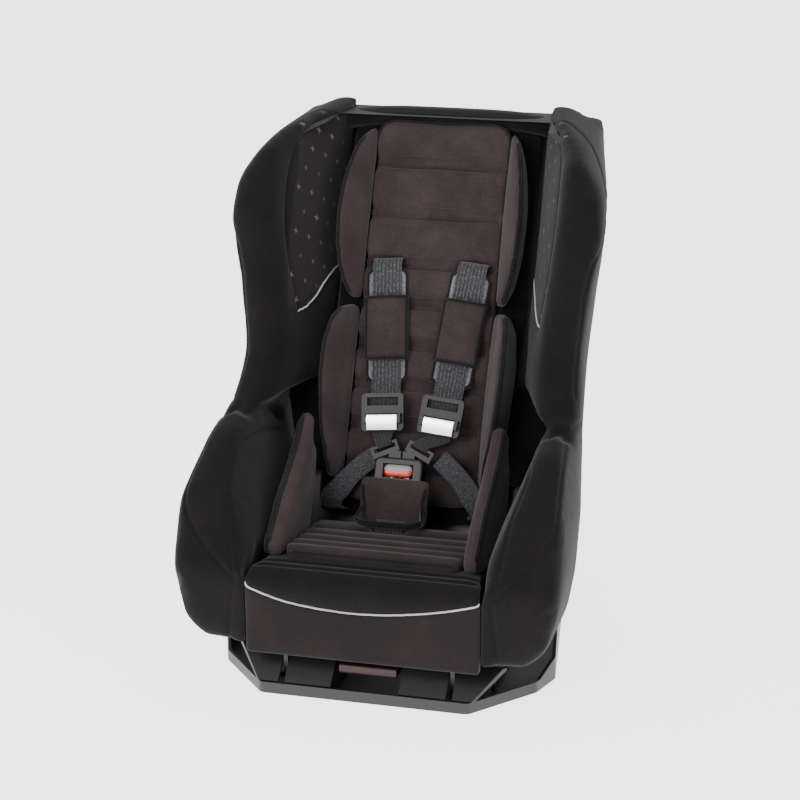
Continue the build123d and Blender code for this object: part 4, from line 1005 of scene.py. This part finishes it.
def lower_strap(name, side):
    """Ribbed webbing from the adjuster, gathered into the tongue's slot."""
    start = [on_adjuster(side, 0, b, w) for b, w in
             ((16, 57), (4, 56.8), (-8, 56.8), (-20, 56.8), (-27, 58.4))]
    end = [on_back(BUCKLE_X + side * 24, 122, 60.6), on_back(BUCKLE_X + side * 21.5, 116.5, 60.2)]
    line = smooth_run(start + end, 2)
    widths = [float(np.interp(i / (len(line) - 1), [0, 0.55, 1], [35, 31, 17])) for i in range(len(line))]
    leaning = (Vector((1, 0, 0)) + UP_BACK * side * -0.45).normalized()
    turning = np.linspace(0, 1, len(line)) ** 2
    across = [(strap_across(side) * (1 - t) + leaning * t).normalized() for t in turning]
    piece = ribbon(f"lower_webbing_{name}", list(zip(line, across)), 35, 1.3, widths=widths)
    dress(piece, DARK_WEBBING)
    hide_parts(f"lower_strap_{name}")
    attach(piece, f"harness_{name}")


for side_name, side_sign in SIDES:
    for webbing_part in (shoulder_strap, lap_strap, shoulder_pad, pad_sleeve, lower_strap):
        webbing_part(side_name, side_sign)
crotch_pad()
crotch_strap()


# ---- hard parts ------------------------------------------------------------------------
def body_of_node(node):
    return next(b for b, nodes in frame["record"]["behaviour"]["bodies"].items() if node in nodes)


def soften(node, slot, material, width, angle=32):
    """Copy of a moulded CAD part whose sharp corners are broken, as on a real moulding."""
    bm = bmesh.new()
    bm.from_mesh(NODES[node].data)
    bmesh.ops.remove_doubles(bm, verts=bm.verts, dist=2e-6)
    bmesh.ops.dissolve_limit(bm, angle_limit=math.radians(0.7), verts=bm.verts, edges=bm.edges)
    piece = new_piece(f"{node}_moulded", bm)
    modify(piece, "BEVEL", width=width * MM, segments=2, limit_method="ANGLE",
           angle_limit=math.radians(angle), use_clamp_overlap=True)
    settle(piece)
    for face in piece.data.polygons:
        face.use_smooth = True
    modify(piece, "WEIGHTED_NORMAL", keep_sharp=True)
    settle(piece)
    dress(piece, material)
    return fit(piece, body_of_node(node), slot, node)


soften("base_tray", "base_plastic", BASE_PLASTIC, 1.2)
# the recline handle's darkened red is painted shade of the recess around it
soften("recline_handle", "button_red", RED_HANDLE_PAINTED_SHADE, 1.0)
soften("buckle_front", "trim_plastic", BUCKLE_PLASTIC, 0.8)
for side_name, _ in SIDES:
    soften(f"adjuster_frame_{side_name}", "trim_plastic", TRIM_PLASTIC, 0.9)
    soften(f"cam_lever_{side_name}", "lever_silver", SILVER_LEVER, 0.8)


def buckle_button():
    """Domed release button: its lower part is red, its upper part sinks into a grey oval."""
    rings = [[on_back(BUCKLE_X + x, v, w) for x, v in rounded(17.8, 80.3, 95.7, 6.5, inset)]
             for w, inset in ((64.2, 0), (69.4, 0), (70.6, 0.8), (71.3, 2.6), (71.6, 4.5))]
    piece = loft("release_button_dome", rings)
    finer(piece, 2)
    dress(piece, RED_BUTTON, BEZEL_PLASTIC)
    share(piece, lambda c, n: (c - BIGHT).dot(UP_BACK) / MM > 89, 1)
    fit(piece, "release_button", "button_red", "release_button")


buckle_button()


def latch_springs():
    """Coil springs between the latch bar and the pan, copied as one piece that rides on the shell; on the
    seat they shorten as the handle lifts the bar.
    """
    piece = solid_of("latch_spring_coils", "latch_springs")
    dress(piece, ROD_STEEL)
    fit(piece, "shell", "bright_steel", "latch_springs")
    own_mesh(piece)


latch_springs()

FINISH = {
    "track_cheek": BASE_PLASTIC, "shell": SHELL_PLASTIC, "slide_rails": SHELL_PLASTIC,
    "base_screws": SCREW_STEEL, "rack_plates": ROD_STEEL, "guide_rods": ROD_STEEL, "rod_caps": TRIM_PLASTIC,
    "handle_pivot_pin": ROD_STEEL, "latch_bar": ROD_STEEL,
    "foam": FOAM_WHITE, "buckle_back": BUCKLE_PLASTIC,
    "buckle_frame": ROD_STEEL, "buckle_latch": ROD_STEEL,
    "shoulder_anchor_plates": ROD_STEEL, "strap_anchor_bars": ROD_STEEL, "clamp_brackets": TRIM_PLASTIC,
    "clamp_pins": ROD_STEEL, "belt_clamp": CLAMP_BLUE, "lever_pin": ROD_STEEL,
    "buckle_tongue": BUCKLE_PLASTIC,
}
for node, thing in NODES.items():
    for stem, material in FINISH.items():
        if node.startswith(stem):
            dress(thing, material)

# ---- floor, light and camera ---------------------------------------------------------
floor_mesh = bmesh.new()
bmesh.ops.create_grid(floor_mesh, x_segments=1, y_segments=1, size=8)
floor = new_piece("studio_floor", floor_mesh)
floor_material, _, floor_shader = blank("white_studio_floor")
floor_shader.inputs["Base Color"].default_value = (0.95, 0.95, 0.95, 1)
floor_shader.inputs["Roughness"].default_value = 0.9
floor_shader.inputs["Emission Color"].default_value = (1, 1, 1, 1)
floor_shader.inputs["Emission Strength"].default_value = 2.4
dress(floor, floor_material)

world = bpy.data.worlds.new("studio")
bpy.context.scene.world = world
world.use_nodes = True
world.node_tree.nodes["Background"].inputs["Color"].default_value = (1, 1, 1, 1)
world.node_tree.nodes["Background"].inputs["Strength"].default_value = 0.8


def softbox(name, place, aim, size, power):
    lamp = bpy.data.lights.new(name, "AREA")
    lamp.shape, lamp.size, lamp.energy = "DISK", size, power
    holder = bpy.data.objects.new(name, lamp)
    holder.location = place
    holder.rotation_euler = (Vector(aim) - Vector(place)).to_track_quat("-Z", "Y").to_euler()
    bpy.context.scene.collection.objects.link(holder)


softbox("key_light", (-0.9, -2.4, 1.7), (0, 0, 0.3), 1.4, 60)
softbox("fill_light", (1.9, -1.6, 1.1), (0, 0, 0.3), 1.6, 18)
softbox("top_light", (0.1, 0.3, 2.6), (0, 0, 0.3), 1.2, 12)

AZIMUTH, ELEVATION, DISTANCE = math.radians(14.3), math.radians(18.8), 2.71
camera_data = bpy.data.cameras.new("studio_camera")
camera = bpy.data.objects.new("studio_camera", camera_data)
bpy.context.scene.collection.objects.link(camera)
back_way = Vector((math.sin(AZIMUTH) * math.cos(ELEVATION), -math.cos(AZIMUTH) * math.cos(ELEVATION),
                   math.sin(ELEVATION)))
camera.location = Vector((0, 0, 0.28)) + back_way * DISTANCE
camera.rotation_euler = back_way.to_track_quat("Z", "Y").to_euler()
camera.rotation_euler.rotate_axis("Z", math.radians(-0.21))
camera_data.sensor_width, camera_data.lens = 36, 101.5
camera_data.shift_x, camera_data.shift_y = -0.015, 0.011
bpy.context.scene.camera = camera
